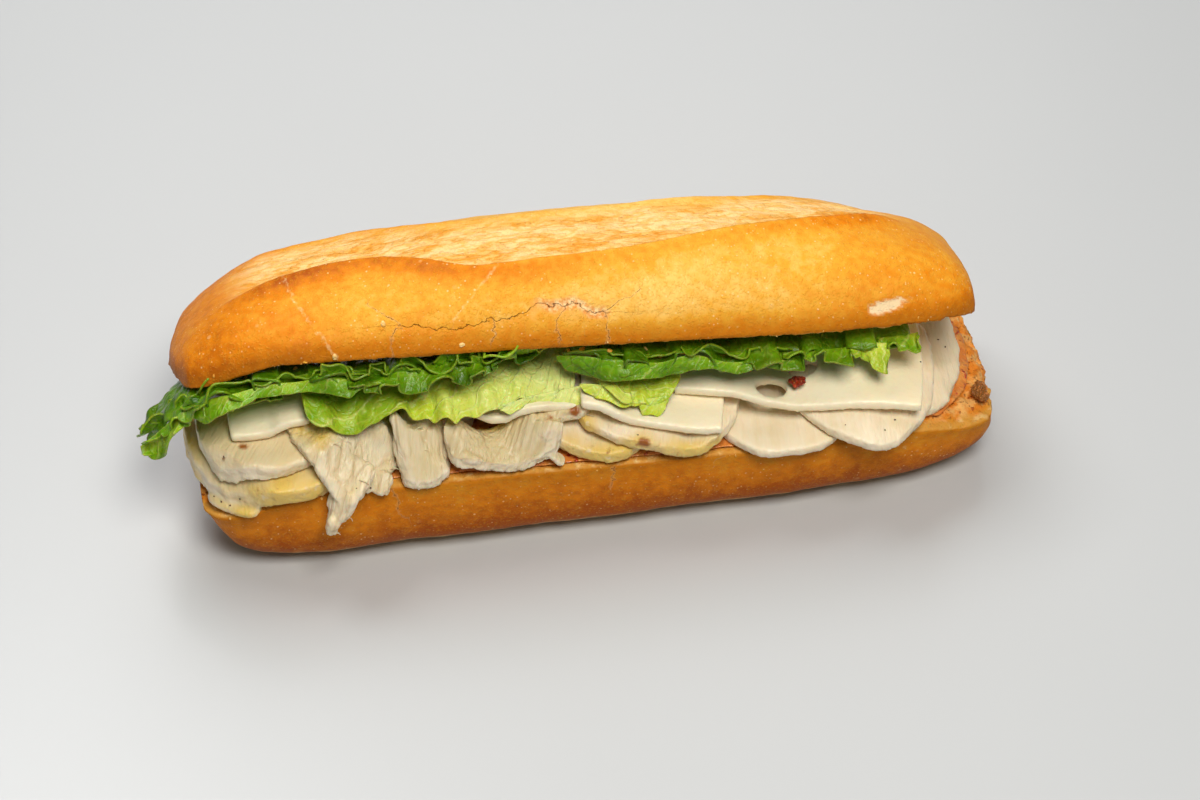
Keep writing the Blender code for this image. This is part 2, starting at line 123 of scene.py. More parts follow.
# Hairline cracks in the crust of each half, as (across, along) in millimetres. A crack that runs round the
# roll gives its place along X for each distance up from the front rim, and the seam the other way about.
LID_SEAM = ((-54, 10.4), (-50, 10.0), (-43, 8.3), (-35, 8.5), (-29.4, 10.0), (-22.6, 10.1), (-18, 11.6),
            (-13.5, 14.4), (-10, 13.1), (-3.3, 14.0), (1.3, 11.2), (5.8, 10.5))
LID_CRACKS = (((0, -56.2), (4, -56.9), (8, -56.5), (10, -54.5)),
              ((0, 5.6), (6.8, 6.0), (10.5, 5.6), (12.7, 8.1), (14.2, 10.4), (14.9, 13.8), (16.4, 16.1)),
              ((4.0, -28.3), (5.7, -27.1), (10, -27.2)),
              ((3.0, -8.6), (8.9, -8.9), (13.2, -5.5), (14.0, -3.3)),
              ((9.9, -53.3), (13.4, -56.7), (17.5, -62.4)))
LID_CREASES = (((2.2, -72.6), (10.8, -78.3), (20, -82.9), (34, -86.0), (46.8, -88.5)),
               ((11, -38.5), (20.8, -29.4), (27.3, -23.7)))
BASE_CRACKS = (((0, -66.0), (5.3, -64.3), (10.7, -64.3), (15.2, -60.8)),
               ((0, 0.6), (5.3, 0.4), (11.7, -0.8)),
               ((0, 36.2), (1.6, 32.8), (2.8, 30.5)))

# How far from a line a point counts as, in millimetres, where there is no line.
NO_LINE = 9.0

# Where the crust has flaked off. A patch at the right end has a place, half a size and a slant. The flaking
# along the seam grows over the first stretch of X and goes over the second. Millimetres.
PEEL_AT = (89, 7.4)
PEEL_SIZE = (7.0, 2.3)
PEEL_SLANT = 0.25
SEAM_PEELS_FROM = (-17, -10)
SEAM_PEELS_TO = (9, 3)

# How deep cracks and flaked places are, how high the creases and the spread stand, and how far from a rim the
# tips of the loaf count as.
CRACK_DEPTH = 0.0002
PEEL_DEPTH = 0.0004
CREASE_RISE = 0.00025
SPREAD_RISE = 0.0006
TIP_TO_RIM = 0.02


def linear(hex_colour):
    """An sRGB hex colour as linear red, green and blue."""
    parts = [int(hex_colour[i:i + 2], 16) / 255 for i in (1, 3, 5)]
    return tuple(p / 12.92 if p <= 0.04045 else ((p + 0.055) / 1.055) ** 2.4 for p in parts)


def colour_property(name, description, hex_colour):
    """A colour that a user can change."""
    return FloatVectorProperty(name=name, description=description, subtype="COLOR", size=3, min=0, max=1,
                               default=linear(hex_colour))


def length_property(name, description, metres):
    """A length that a user can change."""
    return FloatProperty(name=name, description=description, subtype="DISTANCE", unit="LENGTH", min=0.0,
                         precision=5, default=metres)


class BreadLook(bpy.types.PropertyGroup):
    """Sizes and colours of the roll"""
    step: length_property("Mesh step", "Distance between the points of the crust", 0.00115)
    pale: colour_property("Pale crust", "Least baked crust, in the middle of the dome", "#F5C464")
    gold: colour_property("Golden crust", "Most of the crust", "#EAA630")
    amber: colour_property("Amber crust", "Crust towards the ends", "#DE800A")
    brown: colour_property("Brown crust", "Most baked crust, at rims and ends", "#AC5204")
    torn: colour_property("Torn crust", "Rough skin inside the slash", "#FBD08C")
    crumb: colour_property("Crumb", "Soft inside of the roll", "#F2CC86")
    floury: colour_property("Flour", "Pale flecks and blisters on the crust", "#FFDFA0")


class FillingLook(bpy.types.PropertyGroup):
    """Sizes and colours of the filling"""
    voxel: length_property("Face size", "Size of the small faces of chicken and cheese", 0.0007)
    spread: colour_property("Spread", "Tomato spread", "#DC8036")
    tomato: colour_property("Tomato", "Bits of tomato in the spread, and the piece on the cheese", "#C0401A")
    dried: colour_property("Dried tomato", "The darker piece at the end", "#BE7636")
    chicken: colour_property("Chicken", "Cooked chicken breast", "#F2E2C4")
    chicken_shade: colour_property("Chicken, darker", "Darker patches of the chicken", "#D8BF80")
    chicken_skin: colour_property("Chicken rim", "Yellowish rim of a slice", "#E0BC48")
    seared: colour_property("Seared chicken", "Browned spots on the chicken", "#9A5A22")
    cheese: colour_property("Cheese", "Semi-hard cheese", "#FFF0D0")
    pepper: colour_property("Pepper", "Ground pepper", "#3A2A1E")


class LettuceLook(bpy.types.PropertyGroup):
    """Sizes and colours of the leaves"""
    thickness: length_property("Leaf thickness", "Thickness of a leaf", 0.0006)
    dark: colour_property("Dark leaf", "Outer part of a leaf", "#2A5202")
    middle: colour_property("Green leaf", "Middle part of a leaf", "#76A60E")
    pale: colour_property("Pale leaf", "Inner part of a leaf", "#D0E040")
    rib: colour_property("Rib", "Ribs and veins", "#EFEF92")


class CrumbLook(bpy.types.PropertyGroup):
    """Loose crumbs on the roll and the filling"""
    density: FloatProperty(name="Crumbs", description="Crumbs on a square metre of the most littered rim",
                           default=264000.0, min=0.0)
    smallest: length_property("Smallest crumb", "Length of the smallest crumb", 0.0004)
    largest: length_property("Largest crumb", "Length of the largest crumb", 0.0017)
    seed: IntProperty(name="Seed", description="Which of the chance layouts is used", default=7)


# Shapes.


def ease(low, high, value):
    """0 below low, 1 above high, and smooth between them."""
    t = np.clip((value - low) / (high - low), 0.0, 1.0)
    return t * t * (3 - 2 * t)


def lumps(points, size, seed):
    """Smooth noise from -1 to 1 at each point. Size is that of its lumps, one length or one for each
    axis."""
    shift = Vector((seed * 3.1, seed * 1.7, seed * 0.9))
    return np.array([noise.noise(Vector(p) + shift) for p in (points / np.array(size)).tolist()])


def layers(points, *rows):
    """Noise built up from layers. Each is its height, the size of its lumps and its seed."""
    return sum(height * lumps(points, size, seed) for height, size, seed in rows)


def points_of(mesh):
    """The points of a mesh."""
    flat = np.empty(len(mesh.vertices) * 3)
    mesh.vertices.foreach_get("co", flat)
    return flat.reshape(-1, 3)


def normals_of(mesh):
    """The outward direction at each point of a mesh."""
    flat = np.empty(len(mesh.vertices) * 3)
    mesh.vertex_normals.foreach_get("vector", flat)
    return flat.reshape(-1, 3)


def move_points(mesh, points):
    """Moves the points of a mesh."""
    mesh.vertices.foreach_set("co", points.ravel())
    mesh.update()


def raise_points(mesh, height):
    """Moves the points of a mesh outwards, each by its height."""
    move_points(mesh, points_of(mesh) + normals_of(mesh) * height[:, None])


def mark(mesh, name, values):
    """Keeps a number, or three, at each point of a mesh, for its material."""
    values = np.asarray(values, dtype=float)
    kind, field = ("FLOAT", "value") if values.ndim == 1 else ("FLOAT_VECTOR", "vector")
    mesh.attributes.new(name, kind, "POINT").data.foreach_set(field, values.ravel())


def new_object(name, mesh):
    """Adds a smooth-shaded mesh object to the scene."""
    mesh.name = name
    mesh.shade_smooth()
    made = bpy.data.objects.new(name, mesh)
    bpy.context.scene.collection.objects.link(made)
    return made


def settle_modifiers(made):
    """Turns what an object's modifiers make into its own plain mesh."""
    bpy.context.view_layer.update()
    evaluated = made.evaluated_get(bpy.context.evaluated_depsgraph_get())
    mesh = bpy.data.meshes.new_from_object(evaluated)
    made.modifiers.clear()
    made.data = mesh
    return made


def cad_builder(node):
    """A mesh builder with a merged copy of a CAD node's solid."""
    builder = bmesh.new()
    builder.from_mesh(frame["nodes"][node].data)
    bmesh.ops.remove_doubles(builder, verts=builder.verts, dist=1e-5)
    return builder


def dress(made, node, material):
    """Puts a finished piece in the place of a CAD node."""
    made.data.materials.clear()
    made.data.materials.append(material)
    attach(made, "root")
    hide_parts(node)


def even_copy(node, name, face, smoothing, bits=()):
    """A copy of a CAD solid with small even faces, and with its facets smoothed away. Each of the bits that
    belong to the piece, but are too fine for the solid, is fused to it as blunt lumps: a run of places and
    thicknesses in millimetres, and a width."""
    builder = cad_builder(node)
    for run, width in bits:
        for (start, thick), (stop, _) in zip(run, run[1:]):
            start, stop = Vector(start) / 1000, Vector(stop) / 1000
            along = stop - start
            turn = along.to_track_quat("X", "Z").to_matrix().to_4x4()
            size = Matrix.Diagonal((along.length * 0.72, width / 2000, thick / 2000, 1))
            place = Matrix.Translation((start + stop) / 2) @ turn @ size
            for corner in bmesh.ops.create_icosphere(builder, subdivisions=3, radius=1.0)["verts"]:
                corner.co = place @ (corner.co / sum(c ** 4 for c in corner.co) ** 0.25)
    mesh = bpy.data.meshes.new(name)
    builder.to_mesh(mesh)
    builder.free()
    made = new_object(name, mesh)
    remesh = made.modifiers.new("even_faces", "REMESH")
    remesh.mode = "VOXEL"
    remesh.voxel_size = face
    smooth = made.modifiers.new("facets", "SMOOTH")
    smooth.factor = 0.5
    smooth.iterations = smoothing
    settle_modifiers(made)
    made.data.shade_smooth()
    return made


def ring_mesh(name, rings):
    """A closed skin over rings of points, with a fan of triangles over either end."""
    count, around = rings.shape[:2]
    points = np.concatenate([rings.reshape(-1, 3), rings[:1].mean(1), rings[-1:].mean(1)])
    i, j = np.meshgrid(np.arange(count - 1), np.arange(around), indexing="ij")
    here, beside = i * around + j, i * around + (j + 1) % around
    quads = np.stack([here, here + around, beside + around, beside], -1).reshape(-1, 4)
    j = np.arange(around)
    after = (j + 1) % around
    first, last, end = count * around, count * around + 1, (count - 1) * around
    fans = np.concatenate([np.stack([np.full(around, first), j, after], 1),
                           np.stack([np.full(around, last), end + after, end + j], 1)])
    mesh = bpy.data.meshes.new(name)
    mesh.from_pydata(points.tolist(), [], quads.tolist() + fans.tolist())
    builder = bmesh.new()
    builder.from_mesh(mesh)
    if builder.calc_volume(signed=True) < 0:
        bmesh.ops.reverse_faces(builder, faces=builder.faces)
    builder.to_mesh(mesh)
    builder.free()
    return mesh


# Bread.


def plan_round(reach, upper=False):
    """How much of the full width is left at reach, which runs from -1 to 1 along the loaf."""
    bluntness = np.where(reach < 0, LID_LEFT_BLUNTNESS if upper else BASE_LEFT_BLUNTNESS, RIGHT_BLUNTNESS)
    return (1 - np.clip(np.abs(reach), 0, 1) ** bluntness) ** (1 / bluntness)


def dome_round(reach):
    """How much of the dome's full height is left at reach."""
    bluntness = np.where(reach < 0, DOME_LEFT_BLUNTNESS, DOME_RIGHT_BLUNTNESS)
    return (1 - np.clip(np.abs(reach), 0, 1) ** bluntness) ** (1 / bluntness)


def cut_height(reach, upper=False):
    """Height of the knife's cut in the loaf."""
    along = CUT_HEIGHT - CUT_DROP * ease(-0.7, 1.0, reach) - CUT_LEFT_DIP * ease(-0.72, -1.0, reach)
    return along if upper else along - CUT_RIGHT_DIP * ease(0.72, 1.0, reach)


def superellipse(angle, squareness):
    """A point at an angle on a rounded square, 1 from its centre to its sides."""
    c, s = np.cos(angle), np.sin(angle)
    return np.sign(c) * np.abs(c) ** (2 / squareness), np.sign(s) * np.abs(s) ** (2 / squareness)


def lower_crust(reach, along):
    """y and z of the lower half's crust. Along is 0 at its back rim and 1 at its front rim."""
    rim = (cut_height(reach) - LOAF_WIDEST_AT) / (LOAF_HEIGHT - LOAF_WIDEST_AT)
    start = np.arcsin(np.sign(rim) * np.abs(rim) ** (DOME_SQUARENESS / 2))
    angle = start - (math.pi + 2 * start) * along
    squareness = np.where(np.sin(angle) > 0, DOME_SQUARENESS, UNDERSIDE_SQUARENESS)
    across, up = superellipse(angle, squareness)
    depth = (LOAF_WIDEST_AT + UNDERSIDE_FLAT) * plan_round(reach) ** 0.5
    z = LOAF_WIDEST_AT + np.where(up > 0, LOAF_HEIGHT - LOAF_WIDEST_AT, depth) * up
    return LOAF_WIDTH / 2 * plan_round(reach) * across, np.maximum(z, 0.0)


def upper_crust(reach, along):
    """y and z of the upper half's crust. Along is 0 at its back rim and 1 at its front rim."""
    across, up = superellipse(math.pi * along, DOME_SQUARENESS)
    floor = cut_height(reach, True)
    rise = (LOAF_HEIGHT - floor) * dome_round(reach)
    return LOAF_WIDTH / 2 * plan_round(reach, True) * across, floor + rise * up


def slash_lip(x):
    """Where the slash's front lip lies in y: it steps back at the left end, and bows back to the right."""
    bend = SLASH_LEFT_BEND * ease(-SLASH_BEND_FROM, -SLASH_BEND_TO, -x)
    bow = SLASH_RIGHT_BOW * (np.maximum(x - SLASH_BOW_FROM, 0) / (SLASH_REACH - 0.3 * SLASH_BOW_FROM)) ** 2
    return SLASH_LIP_Y + bend + bow


def slash_length(x):
    """1 along the slash, and 0 past its ends."""
    return 1 - ease(0.80, 1.0, np.abs(x) / SLASH_REACH)


def slash_relief(x, y):
    """Height that the slash adds to the dome: a raised lip in front, then a torn trough."""
    behind = y - slash_lip(x)
    ridge = SLASH_LIP_RISE * np.exp(-((behind + 0.0014) / 0.0045) ** 2)
    trough = -SLASH_DEPTH * ease(-0.0008, 0.0022, behind)
    trough = trough * (1 - ease(0.3 * SLASH_WIDTH, SLASH_WIDTH, behind))
    back_lip = 0.0010 * np.exp(-((behind - SLASH_WIDTH) / 0.003) ** 2)
    return (ridge + trough + back_lip) * slash_length(x)


def drawn_in(x, z):
    """How much shorter the lower half is towards its sole, more steadily so at the left end."""
    right = np.maximum(1 - z / LOAF_WIDEST_AT, 0) ** 2
    return UNDERCUT * np.where(x < 0, np.maximum(1 - z / LEFT_SLANT_FROM, 0) ** LEFT_SLANT_CURVE, right)


def loaf_section(reach, share, upper):
    """Points at reach along the loaf, at a share of the way round one half of it."""
    crust = upper_crust if upper else lower_crust
    rim_y, _ = crust(reach, np.zeros_like(share))
    y, z = crust(reach, np.minimum(share / CRUST_SHARE, 1.0))
    on_cut = share > CRUST_SHARE
    across = (share - CRUST_SHARE) / (1 - CRUST_SHARE)
    y = np.where(on_cut, -rim_y + 2 * rim_y * across, y)
    z = np.where(on_cut, cut_height(reach, upper), z)
    x = reach * LOAF_LENGTH / 2 * (LID_SHRINK if upper else 1) + 0 * y
    if upper:
        above_cut = ease(0.004, 0.014, z - cut_height(reach, True)) * ~on_cut
        z = z + slash_relief(x, y) * above_cut - CUT_HEIGHT
    else:
        x = x * (1 - drawn_in(x, z))
    return np.stack([x, y, z], -1)


def loaf_rings(upper, step):
    """Evenly spaced rings of points over one half of the loaf, in its own frame, and their shares."""
    fine = np.linspace(-1, 1, 40001)
    fine = fine[plan_round(fine, upper) > CAP_SHARE]
    x, y = fine * LOAF_LENGTH / 2, plan_round(fine, upper) * LOAF_WIDTH / 2
    run = np.concatenate([[0], np.cumsum(np.hypot(np.diff(x), np.diff(y)))])
    reach = np.interp(np.linspace(0, run[-1], round(run[-1] / step)), run, fine)
    share = np.linspace(0, 1, round(LOAF_GIRTH / step), endpoint=False)
    body = loaf_section(reach[:, None], share[None, :], upper)
    inward = np.linspace(1, 0, round(CAP_SHARE * LOAF_WIDTH / 2 / step), endpoint=False)[1:, None, None]
    caps = []
    for end, edge in ((-1, body[0]), (1, body[-1])):
        tip_x = end * LOAF_LENGTH / 2 * (LID_SHRINK if upper else 1)
        tip_z = cut_height(np.array(float(end)), True) - CUT_HEIGHT if upper else TIP_HEIGHT
        if end < 0 and not upper:
            tip_x *= 1 - drawn_in(tip_x, tip_z)
        tip = np.array([tip_x, 0.0, tip_z])
        cap = tip + (edge - tip) * inward
        cap[..., 0] = tip_x + (edge[..., 0] - tip_x) * inward[..., 0] ** 2
        caps.append(cap)
    return np.concatenate([caps[0][::-1], body, caps[1]]), share


def from_line(run, across, line):
    """Signed distance in millimetres from a line that gives its place across for each place along its run.
    It grows quickly past the line's ends, so that a crack tapers out there."""
    line = np.array(line)
    past = np.maximum(line[0, 0] - run, 0) + np.maximum(run - line[-1, 0], 0)
    return (across - np.interp(run, line[:, 0], line[:, 1])) * (1 + 3 * past ** 2)


def nearest_line(run, across, lines):
    """The signed distance from the nearest of several lines."""
    each = np.array([from_line(run, across, line) for line in lines])
    return np.take_along_axis(each, np.argmin(np.abs(each), 0)[None], 0)[0]


def round_the_ring(rings, share):
    """How far each point of a half is up the crust from its front rim, and from the nearest rim, and
    whether it is on the cut. The tips of the two ends come last."""
    run = np.linalg.norm(np.diff(rings, axis=1, append=rings[:, :1]), axis=2)
    run = np.cumsum(run, axis=1) - run
    crust_end = run[:, np.searchsorted(share, CRUST_SHARE)][:, None]
    up_from_front = np.maximum(crust_end - run, 0)
    to_rim = np.minimum(np.minimum(run, np.abs(run - crust_end)), run[:, -1:] - run)
    on_cut = np.repeat((share > CRUST_SHARE)[None], len(rings), 0)
    return (np.append(up_from_front, [TIP_TO_RIM] * 2), np.append(to_rim, [TIP_TO_RIM] * 2),
            np.append(on_cut, [False] * 2))


def crust_relief(points, to_rim, on_cut, upper):
    """Heights of the crust's dents, the crumb's holes, the spread at the right end and the ragged rims."""
    x = points[:, 0]
    crust = ~on_cut * ease(0, 0.003, to_rim)
    height = crust * layers(points, (0.0007, 0.022, 3.0 + upper), (0.00020, 0.0065, 5.0),
                            (0.00010, 0.0028, 6.0))
    holes = lumps(points, 0.0042, 8.0 + upper)
    height -= on_cut * ease(0, 0.004, to_rim) * (0.0009 * ease(0.12, 0.42, holes) - 0.0002 * holes)
    if not upper:
        spread = on_cut * ease(0.0025, 0.006, to_rim) * ease(0.080, 0.095, x)
        height += spread * (SPREAD_RISE + layers(points, (0.0012, 0.0040, 9.0), (0.0006, 0.0018, 10.0)))
    rim = np.exp(-to_rim / 0.0016) * (1.0 if upper else 1.5) * (1 + 1.2 * ease(0.070, 0.095, x))
    return height + rim * layers(points, (0.00055, 0.0034, 11.0 + upper), (0.00035, 0.0012, 12.0))


def slash_marks(points, on_cut):
    """How torn the crust is inside the slash, how much it is the slash's lip, and the torn relief."""
    x, y, _ = points.T
    behind = y - slash_lip(x)
    here = slash_length(x) * ~on_cut
    wander = 0.0035 * lumps(points, (0.02, 0.006, 0.02), 14.0)
    torn = ease(-0.0002, 0.0012, behind) * here
    torn *= 1 - ease(0.70 * SLASH_WIDTH, 1.05 * SLASH_WIDTH, behind + wander)
    lip = np.exp(-((behind + 0.0030) / 0.0040) ** 2) * here
    relief = layers(points, (0.00055, (0.016, 0.0024, 0.006), 15.0), (0.00035, (0.006, 0.0016, 0.004), 16.0))
    return torn, lip, torn * relief


def peeled(x_mm, up_mm, seam, bend):
    """How far the crust has flaked off, from 0 to 1."""
    across, up = x_mm - PEEL_AT[0], up_mm - PEEL_AT[1]
    patch = np.hypot(across / PEEL_SIZE[0], (up - PEEL_SLANT * across) / PEEL_SIZE[1]) + 0.5 * bend
    along_seam = ease(*SEAM_PEELS_FROM, x_mm) * ease(*SEAM_PEELS_TO, x_mm)
    return ease(1.0, 0.75, patch) + 0.7 * ease(2.2, 0.8, np.abs(seam)) * along_seam


def how_baked(points, to_rim, lip, upper):
    """How brown the crust is: most at rims, ends and the slash's lip, and least in the lid's middle."""
    x, _, z = points.T
    reach = np.abs(x) / (LOAF_LENGTH / 2)
    rim = ease(0.012, 0.0, to_rim)
    if not upper:
        return 0.74 - 0.12 * rim + 0.42 * ease(0.022, 0.006, z)
    front_centre = np.exp(-((x - 0.020) / 0.050) ** 2)
    return (0.40 + 0.36 * ease(0.50, 1.0, reach) * np.where(x < 0, 1.0, 0.50) + 0.40 * rim
            + 0.46 * lip * np.where(x < 0, 1.0, 0.8) - 0.36 * front_centre * (1 - rim))


def bread_half(name, upper, step):
    """The mesh of one half of the roll in its own frame, with what its material needs to know."""
    rings, share = loaf_rings(upper, step)
    mesh = ring_mesh(name, rings)
    points = points_of(mesh)
    up_from_front, to_rim, on_cut = round_the_ring(rings, share)
    height = crust_relief(points, to_rim, on_cut, upper)
    bend = layers(points, (0.6, 0.0035, 17.0), (0.35, 0.0013, 18.0))
    x_mm, up_mm = points[:, 0] * 1000 + bend * 0.8, up_from_front * 1000 + bend * 0.8
    crack = np.where(on_cut, NO_LINE, nearest_line(up_mm, x_mm, LID_CRACKS if upper else BASE_CRACKS))
    seam = crease = np.full(len(points), NO_LINE)
    torn = lip = peel = np.zeros(len(points))
    if upper:
        torn, lip, relief = slash_marks(points, on_cut)
        seam = from_line(x_mm, up_mm, LID_SEAM)
        crease = nearest_line(up_mm, x_mm, LID_CREASES)
        peel = peeled(x_mm, up_mm, seam, bend)
        height += relief - PEEL_DEPTH * peel
        height += CREASE_RISE * np.exp(-(from_line(up_mm, x_mm, LID_CREASES[0]) / 1.2) ** 2)
    height -= CRACK_DEPTH * np.exp(-(np.minimum(np.abs(crack), np.abs(seam)) / 0.7) ** 2)
    raise_points(mesh, height)
    raised = points_of(mesh)
    if not upper:
        raised[:, 2] = np.maximum(raised[:, 2], 0.0)
        move_points(mesh, raised)
    mark(mesh, "bake", how_baked(points, to_rim, lip, upper))
    mark(mesh, "torn", torn)
    mark(mesh, "crumb", on_cut)
    mark(mesh, "rim", to_rim)
    mark(mesh, "cracks", np.stack([crack, seam, crease], 1))
    mark(mesh, "peel", peel)
    edge = 0.0026 + 0.0016 * lumps(raised, 0.006, 19.0)
    mark(mesh, "smear", on_cut * ease(0.6, 1.4, to_rim / edge) * (not upper))
    return mesh


# Finishes.


# Colours of small spots, which aren't among those that a user changes.
# The first of these is painted shade along the crust's rims.
RIM_SHADE, RIM_TOAST, PEELED, SLIT_BROWN = "#B06A0C", "#D8942E", "#FFE8BA", "#8A4A12"
SAUCE, SAUCE_OIL, SAUCE_SPECK = "#E6882A", "#F4B868", "#A8461A"
SPREAD_OIL, TOMATO_SEED, DRIED_FOLDS, RED_FOLDS = "#EAA04E", "#F0A050", "#905C28", "#8A2410"
# The second and third of these are painted shade on the chicken: greenish grey on the upward faces of torn
# pieces, and tan in the splits between their fibres.
PALE_FIBRE, TORN_SHADE, FURROW_SHADE = "#FCF2E0", "#B4AA78", "#C4A470"
CHEESE_CLOUD, PEPPER_HUSK = "#FAE6B4", "#6A4A2C"
FLOOR_GLAZE, FLOOR_MOTTLE, ROOM_WHITE = "#C0C2C3", "#BDBFC0", "#F4F6F8"

# How far a crack's line wanders, in millimetres.
CRACK_SWAY = 1.2


def add(tree, kind, inputs=(), **settings):
    """Adds a node with its settings. Inputs pairs a socket's name or number with a value or a socket."""
    made = tree.nodes.new(kind)
    for name, value in settings.items():
        setattr(made, name, value)
    for key, value in dict(inputs).items():
        if isinstance(value, bpy.types.NodeSocket):
            tree.links.new(value, made.inputs[key])
        else:
            made.inputs[key].default_value = value
    return made


def new_material(name):
    """A new material, its node tree and Object coordinates for its patterns."""
    material = bpy.data.materials.new(name)
    material.use_nodes = True
    tree = material.node_tree
    return material, tree, add(tree, "ShaderNodeTexCoord").outputs["Object"]


def patches(tree, place, size, low, high, detail=3.0, seed=0.0, shape=(1, 1, 1)):
    """A mask of uneven patches, 0 where the noise is under low and 1 over high. Size is in millimetres, and
    shape stretches it along the axes."""
    if shape != (1, 1, 1):
        place = add(tree, "ShaderNodeMapping", {"Vector": place, "Scale": [1 / s for s in shape]}).outputs[0]
    field = add(tree, "ShaderNodeTexNoise",
                {"Vector": place, "W": seed, "Scale": 1000 / size, "Detail": detail},
                noise_dimensions="4D").outputs[0]
    return add(tree, "ShaderNodeMapRange", {"Value": field, "From Min": low, "From Max": high},
               interpolation_type="SMOOTHSTEP").outputs[0]


def overlap(tree, *masks):
    """Where all of several masks are, made fainter by each that is a plain number."""
    made = masks[0]
    for mask in masks[1:]:
        made = add(tree, "ShaderNodeMath", {0: made, 1: mask}, operation="MULTIPLY").outputs[0]
    return made


def flecks(tree, place, spacing, radius, seed=0.0):
    """A mask of small round flecks of uneven size, one in each cell. Spacing and radius are millimetres."""
    cells = add(tree, "ShaderNodeTexVoronoi", {"Vector": place, "W": seed, "Scale": 1000 / spacing},
                voronoi_dimensions="4D")
    chance = add(tree, "ShaderNodeSeparateColor", {"Color": cells.outputs["Color"]}).outputs[0]
    reach = overlap(tree, chance, radius / spacing)
    inner = overlap(tree, reach, 0.6)
    return add(tree, "ShaderNodeMapRange",
               {"Value": cells.outputs["Distance"], "From Min": reach, "From Max": inner},
               interpolation_type="SMOOTHSTEP").outputs[0]


def paint(colour):
    """A user's colour or a hex colour as a node wants it. A socket stays as it is."""
    if isinstance(colour, bpy.types.NodeSocket):
        return colour
    return (*(linear(colour) if isinstance(colour, str) else colour), 1.0)


def painted(tree, ground, *coats):
    """Lays coats over a ground. Each is a colour, and the masks that it is laid through."""
    for colour, *masks in coats:
        ground = add(tree, "ShaderNodeMix", {0: overlap(tree, *masks), 6: paint(ground), 7: paint(colour)},
                     data_type="RGBA").outputs[2]
    return ground


def finish_surface(tree, colour, relief, **shader):
    """Links a colour and chained bumps to a material's shader, and sets its other sockets. Relief is a list
    of a mask and the height in metres that it stands for."""
    main = tree.nodes["Principled BSDF"]
    tree.links.new(colour, main.inputs["Base Color"])
    normal = None
    for mask, height in relief:
        bump = add(tree, "ShaderNodeBump", {"Height": mask, "Distance": height})
        if normal:
            tree.links.new(normal, bump.inputs["Normal"])
        normal = bump.outputs[0]
    if normal:
        tree.links.new(normal, main.inputs["Normal"])
    for name, value in shader.items():
        main.inputs[name.replace("_", " ").title().replace("Ior", "IOR")].default_value = value


def ragged(tree, field, place):
    """A signed distance in millimetres whose line is made to wander."""
    jitter = patches(tree, place, 1.6, 0.0, 1.0, detail=4.0, seed=31.0)
    off = add(tree, "ShaderNodeMath", {0: jitter, 1: 0.5}, operation="SUBTRACT").outputs[0]
    return add(tree, "ShaderNodeMath", {0: off, 1: 2 * CRACK_SWAY, 2: field},
               operation="MULTIPLY_ADD").outputs[0]


def hairline(tree, field, width, soft, place, seed):
    """A thin ragged line where a signed distance in millimetres passes 0, of uneven width."""
    uneven = patches(tree, place, 4, 0.2, 0.8, seed=seed)
    reach = add(tree, "ShaderNodeMath", {0: uneven, 1: width, 2: 0.35 * width},
                operation="MULTIPLY_ADD").outputs[0]
    away = add(tree, "ShaderNodeMath", {0: ragged(tree, field, place)}, operation="ABSOLUTE").outputs[0]
    edge = add(tree, "ShaderNodeMath", {0: reach, 1: soft}, operation="ADD").outputs[0]
    return add(tree, "ShaderNodeMapRange", {"Value": away, "From Min": edge, "From Max": reach},
               interpolation_type="SMOOTHSTEP").outputs[0]


def baked_skin(look, tree, place, marks, close):
    """The crust's colour, from pale to brown as it is baked more, with flour, a floury sole and painted shade
    along its rims, and the fine patterns that also show in its relief."""
    heat = marks["bake"]
    for field, weight in ((patches(tree, place, 16, 0.25, 0.75, seed=1.0), 0.26), (close, 0.27)):
        heat = add(tree, "ShaderNodeMath", {0: field, 1: weight, 2: heat},
                   operation="MULTIPLY_ADD").outputs[0]
    golden, amber, brown = (
        add(tree, "ShaderNodeMapRange", {"Value": heat, "From Min": low, "From Max": high}).outputs[0]
        for low, high in ((0.20, 0.55), (0.55, 0.95), (0.95, 1.35)))
    grain = patches(tree, place, 0.7, 0.48, 0.72, seed=3.0)
    pits = patches(tree, place, 1.1, 0.60, 0.72, detail=2.0, seed=9.0)
    blisters = overlap(tree, flecks(tree, place, 4.5, 1.3, seed=4.0),
                       patches(tree, place, 22, 0.45, 0.6, seed=21.0))
    flour = overlap(tree, flecks(tree, place, 1.1, 0.42, seed=5.0),
                    patches(tree, place, 14, 0.25, 0.60, seed=22.0))
    height = add(tree, "ShaderNodeSeparateXYZ", {0: place}).outputs["Z"]
    sole = add(tree, "ShaderNodeMapRange",
               {"Value": height, "From Min": 0.0075, "From Max": 0.0045}).outputs[0]
    sole = overlap(tree, sole, patches(tree, place, 2.0, 0.35, 0.55, detail=4.0, seed=10.0, shape=(3, 1, 1)))
    # Painted shade along each rim of the crust.
    shade = add(tree, "ShaderNodeMapRange",
                {"Value": marks["rim"], "From Min": 0.008, "From Max": 0.0}).outputs[0]
    colour = painted(tree, look.pale, (look.gold, golden), (look.amber, amber), (look.brown, brown),
                     (look.gold, grain, 0.32), (look.amber, pits, 0.16), (look.floury, blisters, 0.25),
                     (look.floury, flour, 0.55), (RIM_SHADE, shade, 0.75), (look.floury, sole, 0.8))
    return colour, grain, pits, blisters


